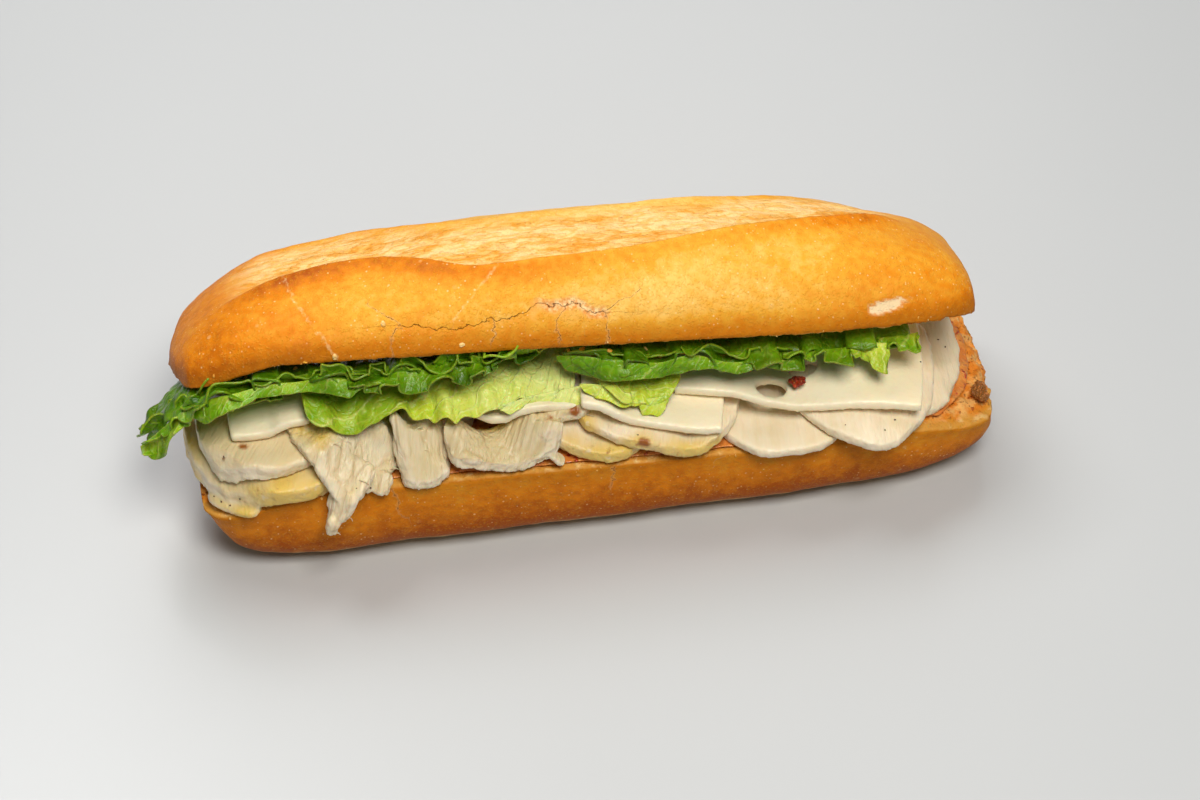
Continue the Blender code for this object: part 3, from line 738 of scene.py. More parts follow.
def torn_skin(look, tree, place):
    """The rough pale skin where the slash opened, and its streaks."""
    streaks = patches(tree, place, 1.3, 0.46, 0.58, detail=5.0, seed=6.0, shape=(3, 1, 1.5))
    bands = patches(tree, place, 6, 0.46, 0.64, detail=4.0, seed=7.0, shape=(3, 1, 1))
    web = overlap(tree, *(patches(tree, place, 3.0, start, 0.49, detail=5.0, seed=20.0, shape=(2.5, 1, 1))
                          for start in (0.42, 0.56)))
    colour = painted(tree, look.torn, (look.gold, streaks, 0.25), (look.gold, bands, 0.60),
                     (look.gold, web, 0.55), (look.amber, web, bands, 0.5),
                     (look.amber, streaks, bands, 0.28))
    return colour, streaks


def cut_side(look, tree, place, marks):
    """The porous crumb, toasted near its rim and smeared with sauce, and the specks in the sauce."""
    pores = patches(tree, place, 1.7, 0.56, 0.72, detail=4.0, seed=8.0)
    oil = patches(tree, place, 3, 0.40, 0.65, detail=4.0, seed=17.0)
    specks = patches(tree, place, 1.6, 0.57, 0.66, detail=4.0, seed=18.0)
    smear = overlap(tree, marks["smear"], patches(tree, place, 2.4, 0.22, 0.40, detail=4.0, seed=19.0))
    sauce = painted(tree, SAUCE, (SAUCE_OIL, oil), (SAUCE_SPECK, specks, 0.7))
    toast = add(tree, "ShaderNodeMapRange",
                {"Value": marks["rim"], "From Min": 0.0050, "From Max": 0.0025}).outputs[0]
    toast = overlap(tree, toast, patches(tree, place, 3.0, 0.30, 0.50, detail=4.0, seed=23.0))
    colour = painted(tree, look.crumb, (look.gold, pores), (sauce, smear), (RIM_TOAST, toast, 0.85))
    return colour, specks


def wheat_crust(look):
    """Lean wheat dough, oven baked: an uneven gold that browns at rims and ends, with painted shade along its
    rims, pale blisters and flour, a rough pale skin where the slash opened, and a porous cream crumb on the
    cut side."""
    material, tree, place = new_material("baked_wheat_crust")
    marks = {name: add(tree, "ShaderNodeAttribute", attribute_name=name).outputs["Fac"]
             for name in ("bake", "torn", "crumb", "peel", "smear", "rim")}
    lines = add(tree, "ShaderNodeAttribute", attribute_name="cracks").outputs["Vector"]
    crack, seam, crease = add(tree, "ShaderNodeSeparateXYZ", {0: lines}).outputs
    close = patches(tree, place, 2.6, 0.25, 0.75, detail=6.0, seed=2.0)
    crust, grain, pits, blisters = baked_skin(look, tree, place, marks, close)
    frayed, streaks = torn_skin(look, tree, place)
    inside, specks = cut_side(look, tree, place, marks)
    wide_crease = overlap(tree, hairline(tree, crease, 0.15, 0.7, place, 11.0),
                          patches(tree, place, 1.6, 0.35, 0.65, detail=5.0, seed=12.0))
    # A pale halo along each crack: in part paler dough, in part a painted highlight on the crack's lips.
    halo = hairline(tree, crack, 0.20, 0.5, place, 13.0)
    slits = add(tree, "ShaderNodeMath", {0: hairline(tree, crack, 0.03, 0.12, place, 14.0),
                                         1: hairline(tree, seam, 0.04, 0.12, place, 15.0)},
                operation="MAXIMUM").outputs[0]
    slits = overlap(tree, slits, patches(tree, place, 1.6, 0.30, 0.55, detail=4.0, seed=16.0))
    lifted = overlap(tree, *(
        add(tree, "ShaderNodeMapRange", {"Value": field, "From Min": low, "From Max": high}).outputs[0]
        for field, low, high in ((ragged(tree, seam, place), 0.25, -0.05), (seam, -7.0, -1.0))))
    bare = add(tree, "ShaderNodeMath", {0: 1.0, 1: marks["peel"]}, operation="SUBTRACT").outputs[0]
    flaking = overlap(tree, marks["peel"], bare, 4.0,
                      patches(tree, place, 1.2, 0.40, 0.60, detail=4.0, seed=24.0))
    colour = painted(tree, crust, (frayed, marks["torn"]), (PEELED, marks["peel"], 0.85),
                     (look.amber, flaking, 0.7), (look.amber, lifted, 0.30), (look.floury, halo, 0.16),
                     (look.floury, wide_crease, 0.34), (SLIT_BROWN, slits, 0.8), (inside, marks["crumb"]))
    rough_skin = overlap(tree, streaks, marks["torn"])
    lumpy = overlap(tree, specks, marks["smear"])
    finish_surface(tree, colour,
                   [(close, 0.00012), (grain, 0.00013), (pits, -0.00006), (blisters, 0.00012),
                    (slits, -0.00015), (lifted, -0.00025), (rough_skin, 0.0002), (lumpy, 0.0003)],
                   roughness=0.50, specular_ior_level=0.12, subsurface_weight=0.08, subsurface_scale=0.0015)
    return material


def tomato_spread(look):
    """Tomato and pepper spread, smeared on the cut side: wet, orange to red, with darker bits in it."""
    material, tree, place = new_material("tomato_spread")
    oil = patches(tree, place, 5, 0.35, 0.7, seed=1.0)
    bits = patches(tree, place, 1.6, 0.55, 0.68, detail=4.0, seed=2.0)
    finish_surface(tree, painted(tree, look.spread, (SPREAD_OIL, oil), (look.tomato, bits)),
                   [(oil, 0.0007), (bits, 0.0002)], roughness=0.28, subsurface_weight=0.1,
                   subsurface_scale=0.002)
    return material


def dried_tomato(name, flesh, folds):
    """Tomato dried in strips and kept in oil: wrinkled, shiny, darker in its folds, with paler seeds."""
    material, tree, place = new_material(name)
    wrinkles = patches(tree, place, 0.8, 0.35, 0.65, detail=4.0, seed=1.0)
    seeds = patches(tree, place, 0.9, 0.60, 0.68, seed=2.0)
    finish_surface(tree, painted(tree, flesh, (folds, wrinkles), (TOMATO_SEED, seeds)), [(wrinkles, 0.0005)],
                   roughness=0.3, subsurface_weight=0.1, subsurface_scale=0.002)
    return material


def chicken_breast(look):
    """Poached and lightly seared chicken breast, sliced: moist cream meat with faint fibres, darker in places
    and there partly painted shade, most on upward faces, a yellowish rim where the skin was, brown sear
    marks, a few grains of pepper, and painted shade in the splits between torn fibres."""
    material, tree, place = new_material("sliced_chicken_breast")
    marks = {name: add(tree, "ShaderNodeAttribute", attribute_name=name).outputs["Fac"]
             for name in ("skin", "seared", "tone_and_shade", "shreds", "furrow_shade")}
    grain = add(tree, "ShaderNodeAttribute", attribute_name="grain_map").outputs["Vector"]
    cloud = patches(tree, place, 9, 0.35, 0.75, seed=1.0)
    strength = add(tree, "ShaderNodeMapRange", {"Value": marks["shreds"], "To Min": 0.5}).outputs[0]
    fibres = overlap(tree, strength,
                     patches(tree, grain, 1.0, 0.35, 0.65, detail=4.0, seed=2.0, shape=(8, 1, 1)))
    coarse = overlap(tree, strength, patches(tree, grain, 2.6, 0.35, 0.65, seed=6.0, shape=(6, 1, 1)))
    skin = overlap(tree, marks["skin"], patches(tree, place, 2.5, 0.15, 0.45, seed=3.0))
    scorched = overlap(tree, skin, patches(tree, place, 2.2, 0.60, 0.75, detail=4.0, seed=5.0))
    pepper = flecks(tree, place, 7.0, 0.55, seed=4.0)
    # The darker tone is in part the meat's own and in part painted shade, most on upward faces, and the tan
    # in the splits between torn fibres is painted shade.
    colour = painted(tree, look.chicken, (look.chicken_shade, cloud, 0.35),
                     (look.chicken_shade, fibres, 0.22), (PALE_FIBRE, coarse, 0.45),
                     (look.chicken_shade, marks["tone_and_shade"]),
                     (TORN_SHADE, marks["tone_and_shade"], marks["shreds"], 0.30), (FURROW_SHADE, marks["furrow_shade"], 0.40),
                     (look.chicken_skin, skin, 0.85), (look.seared, scorched, 0.7),
                     (look.seared, marks["seared"]), (look.pepper, pepper, 0.8))
    finish_surface(tree, colour, [(cloud, 0.0002), (coarse, 0.00025), (fibres, 0.00016)], roughness=0.34,
                   subsurface_weight=0.20, subsurface_scale=0.003, specular_ior_level=0.4)
    return material


def semi_hard_cheese(look):
    """Semi-hard cow's milk cheese, cut by a machine: smooth, ivory, slightly waxy, in faint clouds."""
    material, tree, place = new_material("semi_hard_cheese")
    cloud = patches(tree, place, 12, 0.3, 0.7, seed=1.0)
    grain = patches(tree, place, 1.2, 0.4, 0.7, seed=2.0)
    finish_surface(tree, painted(tree, look.cheese, (CHEESE_CLOUD, cloud, 0.35)), [(grain, 0.00006)],
                   roughness=0.36, subsurface_weight=0.20, subsurface_scale=0.003, specular_ior_level=0.5)
    return material


def rib_mask(tree, turn, count, width):
    """A mask of ribs at even steps of turn, count of them in each."""
    turned = overlap(tree, turn, count)
    cycle = add(tree, "ShaderNodeMath", {0: turned}, operation="FRACT").outputs[0]
    middle = add(tree, "ShaderNodeMath", {0: cycle, 1: 0.5}, operation="SUBTRACT").outputs[0]
    away = add(tree, "ShaderNodeMath", {0: middle}, operation="ABSOLUTE").outputs[0]
    return add(tree, "ShaderNodeMapRange", {"Value": away, "From Min": width, "From Max": 0.0},
               interpolation_type="SMOOTHSTEP").outputs[0]


def vein_net(tree, place):
    """A mask of the fine net of veins between the ribs, with cells 4.5 mm across."""
    warp = add(tree, "ShaderNodeTexNoise", {"Vector": place, "Scale": 260.0, "Detail": 1.0})
    bent = add(tree, "ShaderNodeVectorMath", {0: warp.outputs["Color"], 1: (0.003, 0.003, 0.003), 2: place},
               operation="MULTIPLY_ADD").outputs[0]
    cells = add(tree, "ShaderNodeTexVoronoi", {"Vector": bent, "Scale": 1000 / 4.5},
                feature="DISTANCE_TO_EDGE")
    return add(tree, "ShaderNodeMapRange", {"Value": cells.outputs[0], "From Min": 0.14, "From Max": 0.0},
               interpolation_type="SMOOTHSTEP").outputs[0]


def lettuce_leaf(look):
    """Loose-leaf lettuce, washed: glossy and blistered between pale veins that fan out from its root, dark
    green outside and yellow to white at its heart, with a painted highlight along its margin."""
    material, tree, place = new_material("washed_lettuce_leaf")
    marks = {name: add(tree, "ShaderNodeAttribute", attribute_name=name).outputs["Fac"]
             for name in ("heart", "leaf_out", "fan")}
    close = patches(tree, place, 2.5, 0.3, 0.7, detail=4.0, seed=2.0)
    heart = marks["heart"]
    for field, weight in ((patches(tree, place, 11, 0.3, 0.7, seed=1.0), 0.22), (close, 0.10)):
        heart = add(tree, "ShaderNodeMath", {0: field, 1: weight, 2: heart},
                    operation="MULTIPLY_ADD").outputs[0]
    green, yellow, white = (
        add(tree, "ShaderNodeMapRange", {"Value": heart, "From Min": low, "From Max": high}).outputs[0]
        for low, high in ((0.06, 0.50), (0.50, 0.95), (0.95, 1.35)))
    sway = add(tree, "ShaderNodeTexNoise", {"Vector": place, "Scale": 130.0, "Detail": 2.0}).outputs[0]
    turn = add(tree, "ShaderNodeMath", {0: sway, 1: 1.3, 2: marks["fan"]},
               operation="MULTIPLY_ADD").outputs[0]
    rib, vein = (rib_mask(tree, turn, count, width) for count, width in ((1.0, 0.10), (3.0, 0.20)))
    net = vein_net(tree, place)
    # A paler band at each leaf's margin: a painted highlight along its edge.
    lip = add(tree, "ShaderNodeMapRange",
              {"Value": marks["leaf_out"], "From Min": 0.94, "From Max": 1.0}).outputs[0]
    veined = add(tree, "ShaderNodeMapRange", {"Value": heart, "From Min": 0.25, "To Max": 0.55}).outputs[0]
    colour = painted(tree, look.dark, (look.middle, green), (look.pale, yellow), (look.rib, white),
                     (look.pale, net, 0.06), (look.rib, vein, veined, 0.5), (look.rib, rib, veined),
                     (look.pale, lip, 0.18))
    finish_surface(tree, colour, [(rib, 0.00012), (vein, 0.00006), (net, -0.00012), (close, 0.00025)],
                   roughness=0.28, specular_ior_level=0.30, subsurface_weight=0.35, subsurface_scale=0.002)
    return material


def bread_crumb(look):
    """Flakes and crumbs rubbed off the roll: dry, matt, cream to gold."""
    material, tree, place = new_material("dry_bread_crumbs")
    tint = patches(tree, place, 4, 0.35, 0.65, seed=1.0)
    grain = patches(tree, place, 0.5, 0.3, 0.7, seed=2.0)
    finish_surface(tree, painted(tree, look.crumb, (look.gold, tint)), [(grain, 0.0001)],
                   roughness=0.7, specular_ior_level=0.2, subsurface_weight=0.1, subsurface_scale=0.001)
    return material


def ground_pepper(look):
    """Ground black pepper: matt dark brown grains."""
    material, tree, place = new_material("ground_black_pepper")
    grain = patches(tree, place, 0.4, 0.4, 0.6, seed=1.0)
    finish_surface(tree, painted(tree, look.pepper, (PEPPER_HUSK, grain)), [(grain, 0.0001)], roughness=0.7)
    return material


def floor_glaze():
    """A pale glazed board: plain and slightly glossy."""
    material, tree, place = new_material("glazed_pale_board")
    mottle = patches(tree, place, 300, 0.2, 0.8)
    finish_surface(tree, painted(tree, FLOOR_GLAZE, (FLOOR_MOTTLE, mottle)), [],
                   roughness=0.30, specular_ior_level=0.5)
    return material


# Pieces.


# Each light's name, place, size, power and colour. All of them face the middle of the roll.
LIGHTS = (("overhead", (-0.35, 0.45, 1.15), 0.6, 8.2, "#FFFFFF"),
          ("window_behind", (0.10, 0.95, 0.95), 0.8, 3.0, "#FFFFFF"),
          ("high_fill", (0.12, -0.58, 1.20), 0.5, 14.2, "#FFFBF4"))
ROOM_STRENGTH = 0.13
MIDDLE = Vector((0, 0, 0.030))

# The camera, at the photograph's viewing angle.
CAMERA_SIDE = Vector((-0.1147, -0.6851, 0.7193))
CAMERA_DISTANCE = 0.95
FOCAL_LENGTH = 93.5
SENSOR_WIDTH = 36.0
CAMERA_SHIFT = (0.0068, -0.0199)


class SANDWICH_OT_stage(bpy.types.Operator):
    """A pale glazed floor, soft studio light and the camera"""
    bl_idname = "sandwich.stage"
    bl_label = "Stage and light"

    def execute(self, context):
        bpy.ops.mesh.primitive_plane_add(size=6.0)
        floor = context.object
        floor.name = "floor"
        floor.data.materials.append(floor_glaze())
        for name, place, size, power, colour in LIGHTS:
            light = bpy.data.lights.new(name, "AREA")
            light.size, light.energy, light.color = size, power, linear(colour)
            lamp = bpy.data.objects.new(name, light)
            lamp.location = place
            lamp.rotation_euler = (MIDDLE - Vector(place)).to_track_quat("-Z", "Y").to_euler()
            context.scene.collection.objects.link(lamp)
        world = bpy.data.worlds.new("soft_room")
        world.use_nodes = True
        room = world.node_tree.nodes["Background"].inputs
        room["Color"].default_value = paint(ROOM_WHITE)
        room["Strength"].default_value = ROOM_STRENGTH
        context.scene.world = world
        context.scene.view_settings.view_transform = "Standard"
        lens = bpy.data.cameras.new("camera")
        lens.lens, lens.sensor_width = FOCAL_LENGTH, SENSOR_WIDTH
        lens.shift_x, lens.shift_y = CAMERA_SHIFT
        camera = bpy.data.objects.new("camera", lens)
        camera.location = MIDDLE + CAMERA_DISTANCE * CAMERA_SIDE
        camera.rotation_euler = CAMERA_SIDE.to_track_quat("Z", "Y").to_euler()
        context.scene.collection.objects.link(camera)
        context.scene.camera = camera
        return {"FINISHED"}


class SANDWICH_OT_bread(bpy.types.Operator):
    """Both halves of the roll, with a slashed and blistered crust and a porous cut side"""
    bl_idname = "sandwich.bread"
    bl_label = "Bread"

    def execute(self, context):
        look = context.scene.bread_look
        material = wheat_crust(look)
        base = new_object("roll_base", bread_half("roll_base", False, look.step))
        dress(base, "bread_base", material)
        lid_mesh = bread_half("roll_lid", True, look.step)
        lid_mesh.transform(Matrix.Translation(LID_PLACE) @ Matrix.Rotation(-LID_TURN, 4, "Z")
                           @ Matrix.Rotation(LID_ROLL, 4, "Y") @ Matrix.Rotation(-LID_TILT, 4, "X"))
        dress(new_object("roll_lid", lid_mesh), "bread_lid", material)
        return {"FINISHED"}


class SANDWICH_OT_spread(bpy.types.Operator):
    """The tomato spread, and two pieces of dried tomato"""
    bl_idname = "sandwich.spread"
    bl_label = "Spread and tomato"

    def execute(self, context):
        look = context.scene.filling_look
        spread = even_copy("tomato_spread", "spread_layer", 0.0008, 8)
        raise_points(spread.data, layers(points_of(spread.data), (0.0003, 0.004, 2.0)))
        dress(spread, "tomato_spread", tomato_spread(look))
        for node, flesh, folds in (("dried_tomato", look.dried, DRIED_FOLDS),
                                   ("tomato_bit", look.tomato, RED_FOLDS)):
            piece = even_copy(node, node + "_piece", 0.0003, 4)
            wrinkles = layers(points_of(piece.data), (0.0010, 0.0020, 3.0), (0.0005, 0.0009, 4.0))
            raise_points(piece.data, wrinkles - 0.0004)
            dress(piece, node, dried_tomato(node + "_in_oil", flesh, folds))
        return {"FINISHED"}


# How steeply the fibres of a torn piece fall, from which share a piece counts as torn, and how much smaller
# its faces are then.
HANG = math.radians(50)
TORN_FROM = 0.5
TORN_FACE = 0.72

# What each piece of chicken shows: how torn it is, which way its fibres run in degrees from X, how dark it is
# (in part its own darker meat, in part painted shade, most on its upward faces), its yellowish rims as (axis,
# from, to) over its box, its sear marks as (x, y, z, radius), and the bits that hang off it as (((place,
# thickness), ...), width). Millimetres. A torn piece's fibres hang with it.
CHICKEN = {
    "left_low": (0.0, 80, 0.70, ((1, 0.16, 0.0), (0, 0.10, 0.0)),
                 ((-116, -33, 32, 1.0), (-112, -35, 31.5, 0.8), (-119, -29, 33, 0.9)),
                 (((((-117, -27, 27.5), 2.6), ((-112, -32, 27.3), 2.6), ((-106, -35.8, 28.2), 2.2)), 7.0),
                  ((((-92, -35.5, 33.5), 1.4), ((-89, -37.5, 36.5), 1.2), ((-86.5, -37.5, 33), 1.2)), 1.8))),
    "left_top": (0.0, 60, 0.55, (), ((-107.5, -26.6, 46.3, 1.7), (-113.5, -29.2, 44.4, 0.7)),
                 (((((-108, -33.5, 41), 1.4), ((-102, -35, 40.5), 1.2)), 2.2),)),
    "flat": (0.2, 70, 0.30, (), (), ()),
    "right_end": (0.0, 85, 0.0, (), (), ()),
    "middle_low": (0.2, 75, 0.45, (), (), ()),
    "yellow_edge": (0.15, 75, 0.08, ((1, 0.18, 0.02), (0, 0.26, 0.0)), (), ()),
    "round": (0.0, 85, 0.0, ((0, 0.74, 0.96),), (), ()),
    "round_front": (0.0, 85, 0.0, (), (), ()),
    "seared": (0.25, 70, 0.05, ((0, 0.22, 0.03), (1, 0.12, 0.0)),
               ((9.2, -38.3, 39.2, 2.4), (6.5, -38.8, 37.8, 1.4), (29.5, -36, 34.5, 1.6)), ()),
    "back": (0.8, 20, 0.45, (), (), ()),
    "flake": (1.0, 55, 0.35, ((2, 0.85, 1.0),), (),
              (((((-74, -36, 42), 4.0), ((-79, -41.5, 38), 4.5), ((-82.5, -42.6, 31), 4.0),
                 ((-84.0, -42.2, 25.5), 3.2)), 11.0),
               ((((-67, -35.5, 36), 3.0), ((-69, -39.0, 33), 2.4)), 5.0))),
    "torn": (1.0, 80, 0.50, (), (), ()),
    "chunk": (0.9, 55, 0.60, ((1, 0.72, 1.0),), ((-17.5, -29, 44.5, 1.7), (-10, -28.5, 46, 2.1)),
              (((((-18, -35.0, 36), 2.6), ((-15, -36.2, 33), 2.2)), 3.6),
               ((((-19, -26.5, 43.5), 5.0), ((-8, -26.0, 44.5), 5.0)), 6.0))),
}


def new_tree(name, result, inputs):
    """A geometry tree, the sockets that give its inputs, and their identifiers. Inputs are rows of a name, a
    kind and a default."""
    tree = bpy.data.node_groups.new(name, "GeometryNodeTree")
    sockets = {}
    for label, kind, value in inputs:
        sockets[label] = tree.interface.new_socket(name=label, in_out="INPUT",
                                                   socket_type="NodeSocket" + kind)
        if value is not None:
            sockets[label].default_value = value
    tree.interface.new_socket(name=result, in_out="OUTPUT", socket_type="NodeSocketGeometry")
    keys = {label: socket.identifier for label, socket in sockets.items()}
    return tree, add(tree, "NodeGroupInput").outputs, keys


def end_tree(tree, geometry, finish):
    """Ends a geometry tree in a plain mesh of one finish."""
    real = add(tree, "GeometryNodeRealizeInstances", {0: geometry}).outputs[0]
    done = add(tree, "GeometryNodeSetMaterial", {"Geometry": real, "Material": finish}).outputs[0]
    tree.links.new(done, add(tree, "NodeGroupOutput").inputs[0])


def fibre_tree():
    """Fine torn fibres that stand off a piece of meat, each an arch that is 0.9 mm high."""
    tree, given, keys = new_tree("torn_fibres", "Meat", (
        ("Meat", "Geometry", None), ("Fibres", "Float", 9000.0), ("Length", "Float", 0.0026),
        ("Thickness", "Float", 0.00014), ("Seed", "Int", 0), ("Finish", "Material", None)))
    roots = add(tree, "GeometryNodeDistributePointsOnFaces",
                {"Mesh": given["Meat"], "Density": given["Fibres"], "Seed": given["Seed"]}).outputs["Points"]
    tip = add(tree, "ShaderNodeCombineXYZ", {0: given["Length"]}).outputs[0]
    line = add(tree, "GeometryNodeCurvePrimitiveLine", {"End": tip}).outputs[0]
    line = add(tree, "GeometryNodeResampleCurve", {"Curve": line, "Count": 6}).outputs[0]
    along = add(tree, "GeometryNodeSplineParameter").outputs["Factor"]
    arch = add(tree, "ShaderNodeMath", {0: overlap(tree, along, math.pi)}, operation="SINE").outputs[0]
    lift = add(tree, "ShaderNodeCombineXYZ", {2: overlap(tree, arch, 0.0009)}).outputs[0]
    line = add(tree, "GeometryNodeSetPosition", {"Geometry": line, "Offset": lift}).outputs[0]
    profile = add(tree, "GeometryNodeCurvePrimitiveCircle",
                  {"Resolution": 4, "Radius": given["Thickness"]}).outputs[0]
    fibre = add(tree, "GeometryNodeCurveToMesh",
                {"Curve": line, "Profile Curve": profile, "Fill Caps": True}).outputs[0]
    spin = add(tree, "FunctionNodeRandomValue",
               {0: (-0.5, -0.35, -0.5), 1: (0.5, 0.35, 0.5), "Seed": given["Seed"]},
               data_type="FLOAT_VECTOR").outputs[0]
    size = add(tree, "FunctionNodeRandomValue", {2: 0.5, 3: 1.3, "Seed": given["Seed"]},
               data_type="FLOAT").outputs[1]
    turn = add(tree, "FunctionNodeEulerToRotation", {0: spin}).outputs[0]
    grown = add(tree, "GeometryNodeInstanceOnPoints",
                {"Points": roots, "Instance": fibre, "Rotation": turn, "Scale": size}).outputs[0]
    joined = add(tree, "GeometryNodeJoinGeometry")
    tree.links.new(given["Meat"], joined.inputs[0])
    tree.links.new(add(tree, "GeometryNodeRealizeInstances", {0: grown}).outputs[0], joined.inputs[0])
    end_tree(tree, joined.outputs[0], given["Finish"])
    return tree, keys


def fibre_relief(points, normals, torn, way, number):
    """Where each point lies along, across and through a piece's fibres, how deep in a split, and how
    high."""
    turn = Matrix.Rotation(math.radians(way), 3, "Z") @ Matrix.Rotation(-HANG * torn, 3, "Y")
    grain = points @ np.array(turn)
    ridges = 0.4 - 1.6 * np.abs(lumps(grain, (0.0260, 0.0013, 0.0015), 20.0 + number))
    split = np.exp(-(lumps(grain, (0.0400, 0.0034, 0.0050), 25.0 + number) / 0.10) ** 2)
    height = (0.00008 + 0.00016 * torn) * ridges - 0.0004 * torn * split
    height += (0.0001 + 0.0004 * torn) * lumps(grain, (0.0160, 0.0050, 0.0050), 30.0 + number)
    height += 0.0004 * lumps(points, 0.007, 40.0 + number)
    side = ease(0.7, 0.2, np.abs(normals[:, 2]))
    height += side * layers(points, (0.0005, 0.0045, 45.0 + number), (0.0003, 0.0018, 46.0))
    return grain, split, height


def rim_skin(points, node, rims):
    """How much of the yellowish rim is at each point."""
    low, high = np.array(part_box(node))
    inside = (points - low) / (high - low)
    skin = np.zeros(len(points))
    for axis, start, stop in rims:
        where = inside[:, axis] + 0.06 * lumps(points, 0.006, 50.0)
        skin = np.maximum(skin, ease(start, stop, where))
    return skin


def sear_marks(points, places):
    """How browned each point is by the sear marks at these places."""
    seared = np.zeros(len(points))
    for x, y, z, radius in places:
        away = np.linalg.norm(points * 1000 - (x, y, z), axis=1) + 0.5 * lumps(points, 0.0015, 51.0)
        seared = np.maximum(seared, ease(radius, 0.5 * radius, away))
    return seared


class SANDWICH_OT_chicken(bpy.types.Operator):
    """Every slice, flake and torn piece of chicken"""
    bl_idname = "sandwich.chicken"
    bl_label = "Chicken"

    def execute(self, context):
        look = context.scene.filling_look
        material = chicken_breast(look)
        fibres, keys = fibre_tree()
        for number, (name, (torn, way, tone_and_shade, rims, sears, bits)) in enumerate(CHICKEN.items()):
            node, frayed = "chicken_" + name, torn > TORN_FROM
            face = look.voxel * (TORN_FACE if frayed else 1.0)
            piece = even_copy(node, node + "_meat", face, 3 if frayed else 6, bits)
            points, normals = points_of(piece.data), normals_of(piece.data)
            grain, split, height = fibre_relief(points, normals, torn, way, number)
            raise_points(piece.data, height)
            mark(piece.data, "skin", rim_skin(points, node, rims))
            mark(piece.data, "seared", sear_marks(points, sears))
            # Darker tone, in part the meat's own and in part painted shade, strongest on upward faces.
            mark(piece.data, "tone_and_shade", tone_and_shade * (0.12 + 0.88 * ease(0.2, 0.9, normals[:, 2])))
            # Painted shade in the splits between torn fibres.
            mark(piece.data, "furrow_shade", split * torn)
            mark(piece.data, "shreds", np.full(len(points), torn))
            mark(piece.data, "grain_map", grain)
            if frayed:
                growth = piece.modifiers.new("fibres", "NODES")
                growth.node_group = fibres
                growth[keys["Seed"]] = number
                growth[keys["Finish"]] = material
                settle_modifiers(piece)
                piece.data.shade_smooth()
            dress(piece, node, material)
        return {"FINISHED"}


class SANDWICH_OT_cheese(bpy.types.Operator):
    """The slices of cheese"""
    bl_idname = "sandwich.cheese"
    bl_label = "Cheese"

    def execute(self, context):
        look = context.scene.filling_look
        material = semi_hard_cheese(look)
        for node in (n for n in frame["nodes"] if n.startswith("cheese_")):
            piece = even_copy(node, node + "_slice", look.voxel * 0.85, 8)
            raise_points(piece.data, layers(points_of(piece.data), (0.00012, 0.009, 4.0)))
            dress(piece, node, material)
        return {"FINISHED"}


def leaf_sheet(node, name):
    """The upper side of a CAD leaf as an open sheet of small faces."""
    builder = cad_builder(node)
    rims = [f for f in builder.faces if min(e.calc_length() for e in f.edges) < 0.0011]
    bmesh.ops.delete(builder, geom=rims, context="FACES")
    unseen, sides = set(builder.faces), []
    while unseen:
        group, front = [], [unseen.pop()]
        while front:
            face = front.pop()
            group.append(face)
            for edge in face.edges:
                for other in edge.link_faces:
                    if other in unseen:
                        unseen.remove(other)
                        front.append(other)
        sides.append(group)
    sides.sort(key=lambda group: sum(f.normal.z * f.calc_area() for f in group))
    bmesh.ops.delete(builder, geom=[f for group in sides[:-1] for f in group], context="FACES")
    bmesh.ops.join_triangles(builder, faces=builder.faces, angle_face_threshold=math.pi,
                             angle_shape_threshold=math.pi)
    mesh = bpy.data.meshes.new(name)
    builder.to_mesh(mesh)
    builder.free()
    made = new_object(name, mesh)
    rounder = made.modifiers.new("rounder", "SUBSURF")
    rounder.levels = rounder.render_levels = 3
    return settle_modifiers(made)


# What each leaf shows: its root in plan, how many ribs fan out in a radian, how pale it is at its low and
# high X, how far its ruffles rise and overhang, and the ruffles of its solid as (first X, last X, waves,
# seed). Metres.
LEAVES = {
    "lettuce_middle": ((-0.002, 0.010), 9.0, (0.44, 1.20), 0.0010, 0.0006, (-0.089, -0.008, 4.5, 1.0)),
    "lettuce_tip": ((-0.022, -0.016), 6.0, (1.00, 0.62), 0.0008, 0.0006, (-0.003, 0.023, 1.5, 2.0)),
    "lettuce_fold": ((-0.085, 0.004), 6.0, (0.45, 0.30), 0.0006, 0.0005, (-0.121, -0.093, 2.0, 3.0)),
    "lettuce_left": ((-0.075, 0.030), 6.0, (0.04, 0.06), 0.0012, 0.0018, (-0.135, -0.015, 7.0, 4.0)),
    "lettuce_right": ((0.040, 0.030), 6.0, (0.02, 0.16), 0.0010, 0.0014, (-0.011, 0.092, 6.0, 5.0)),
}
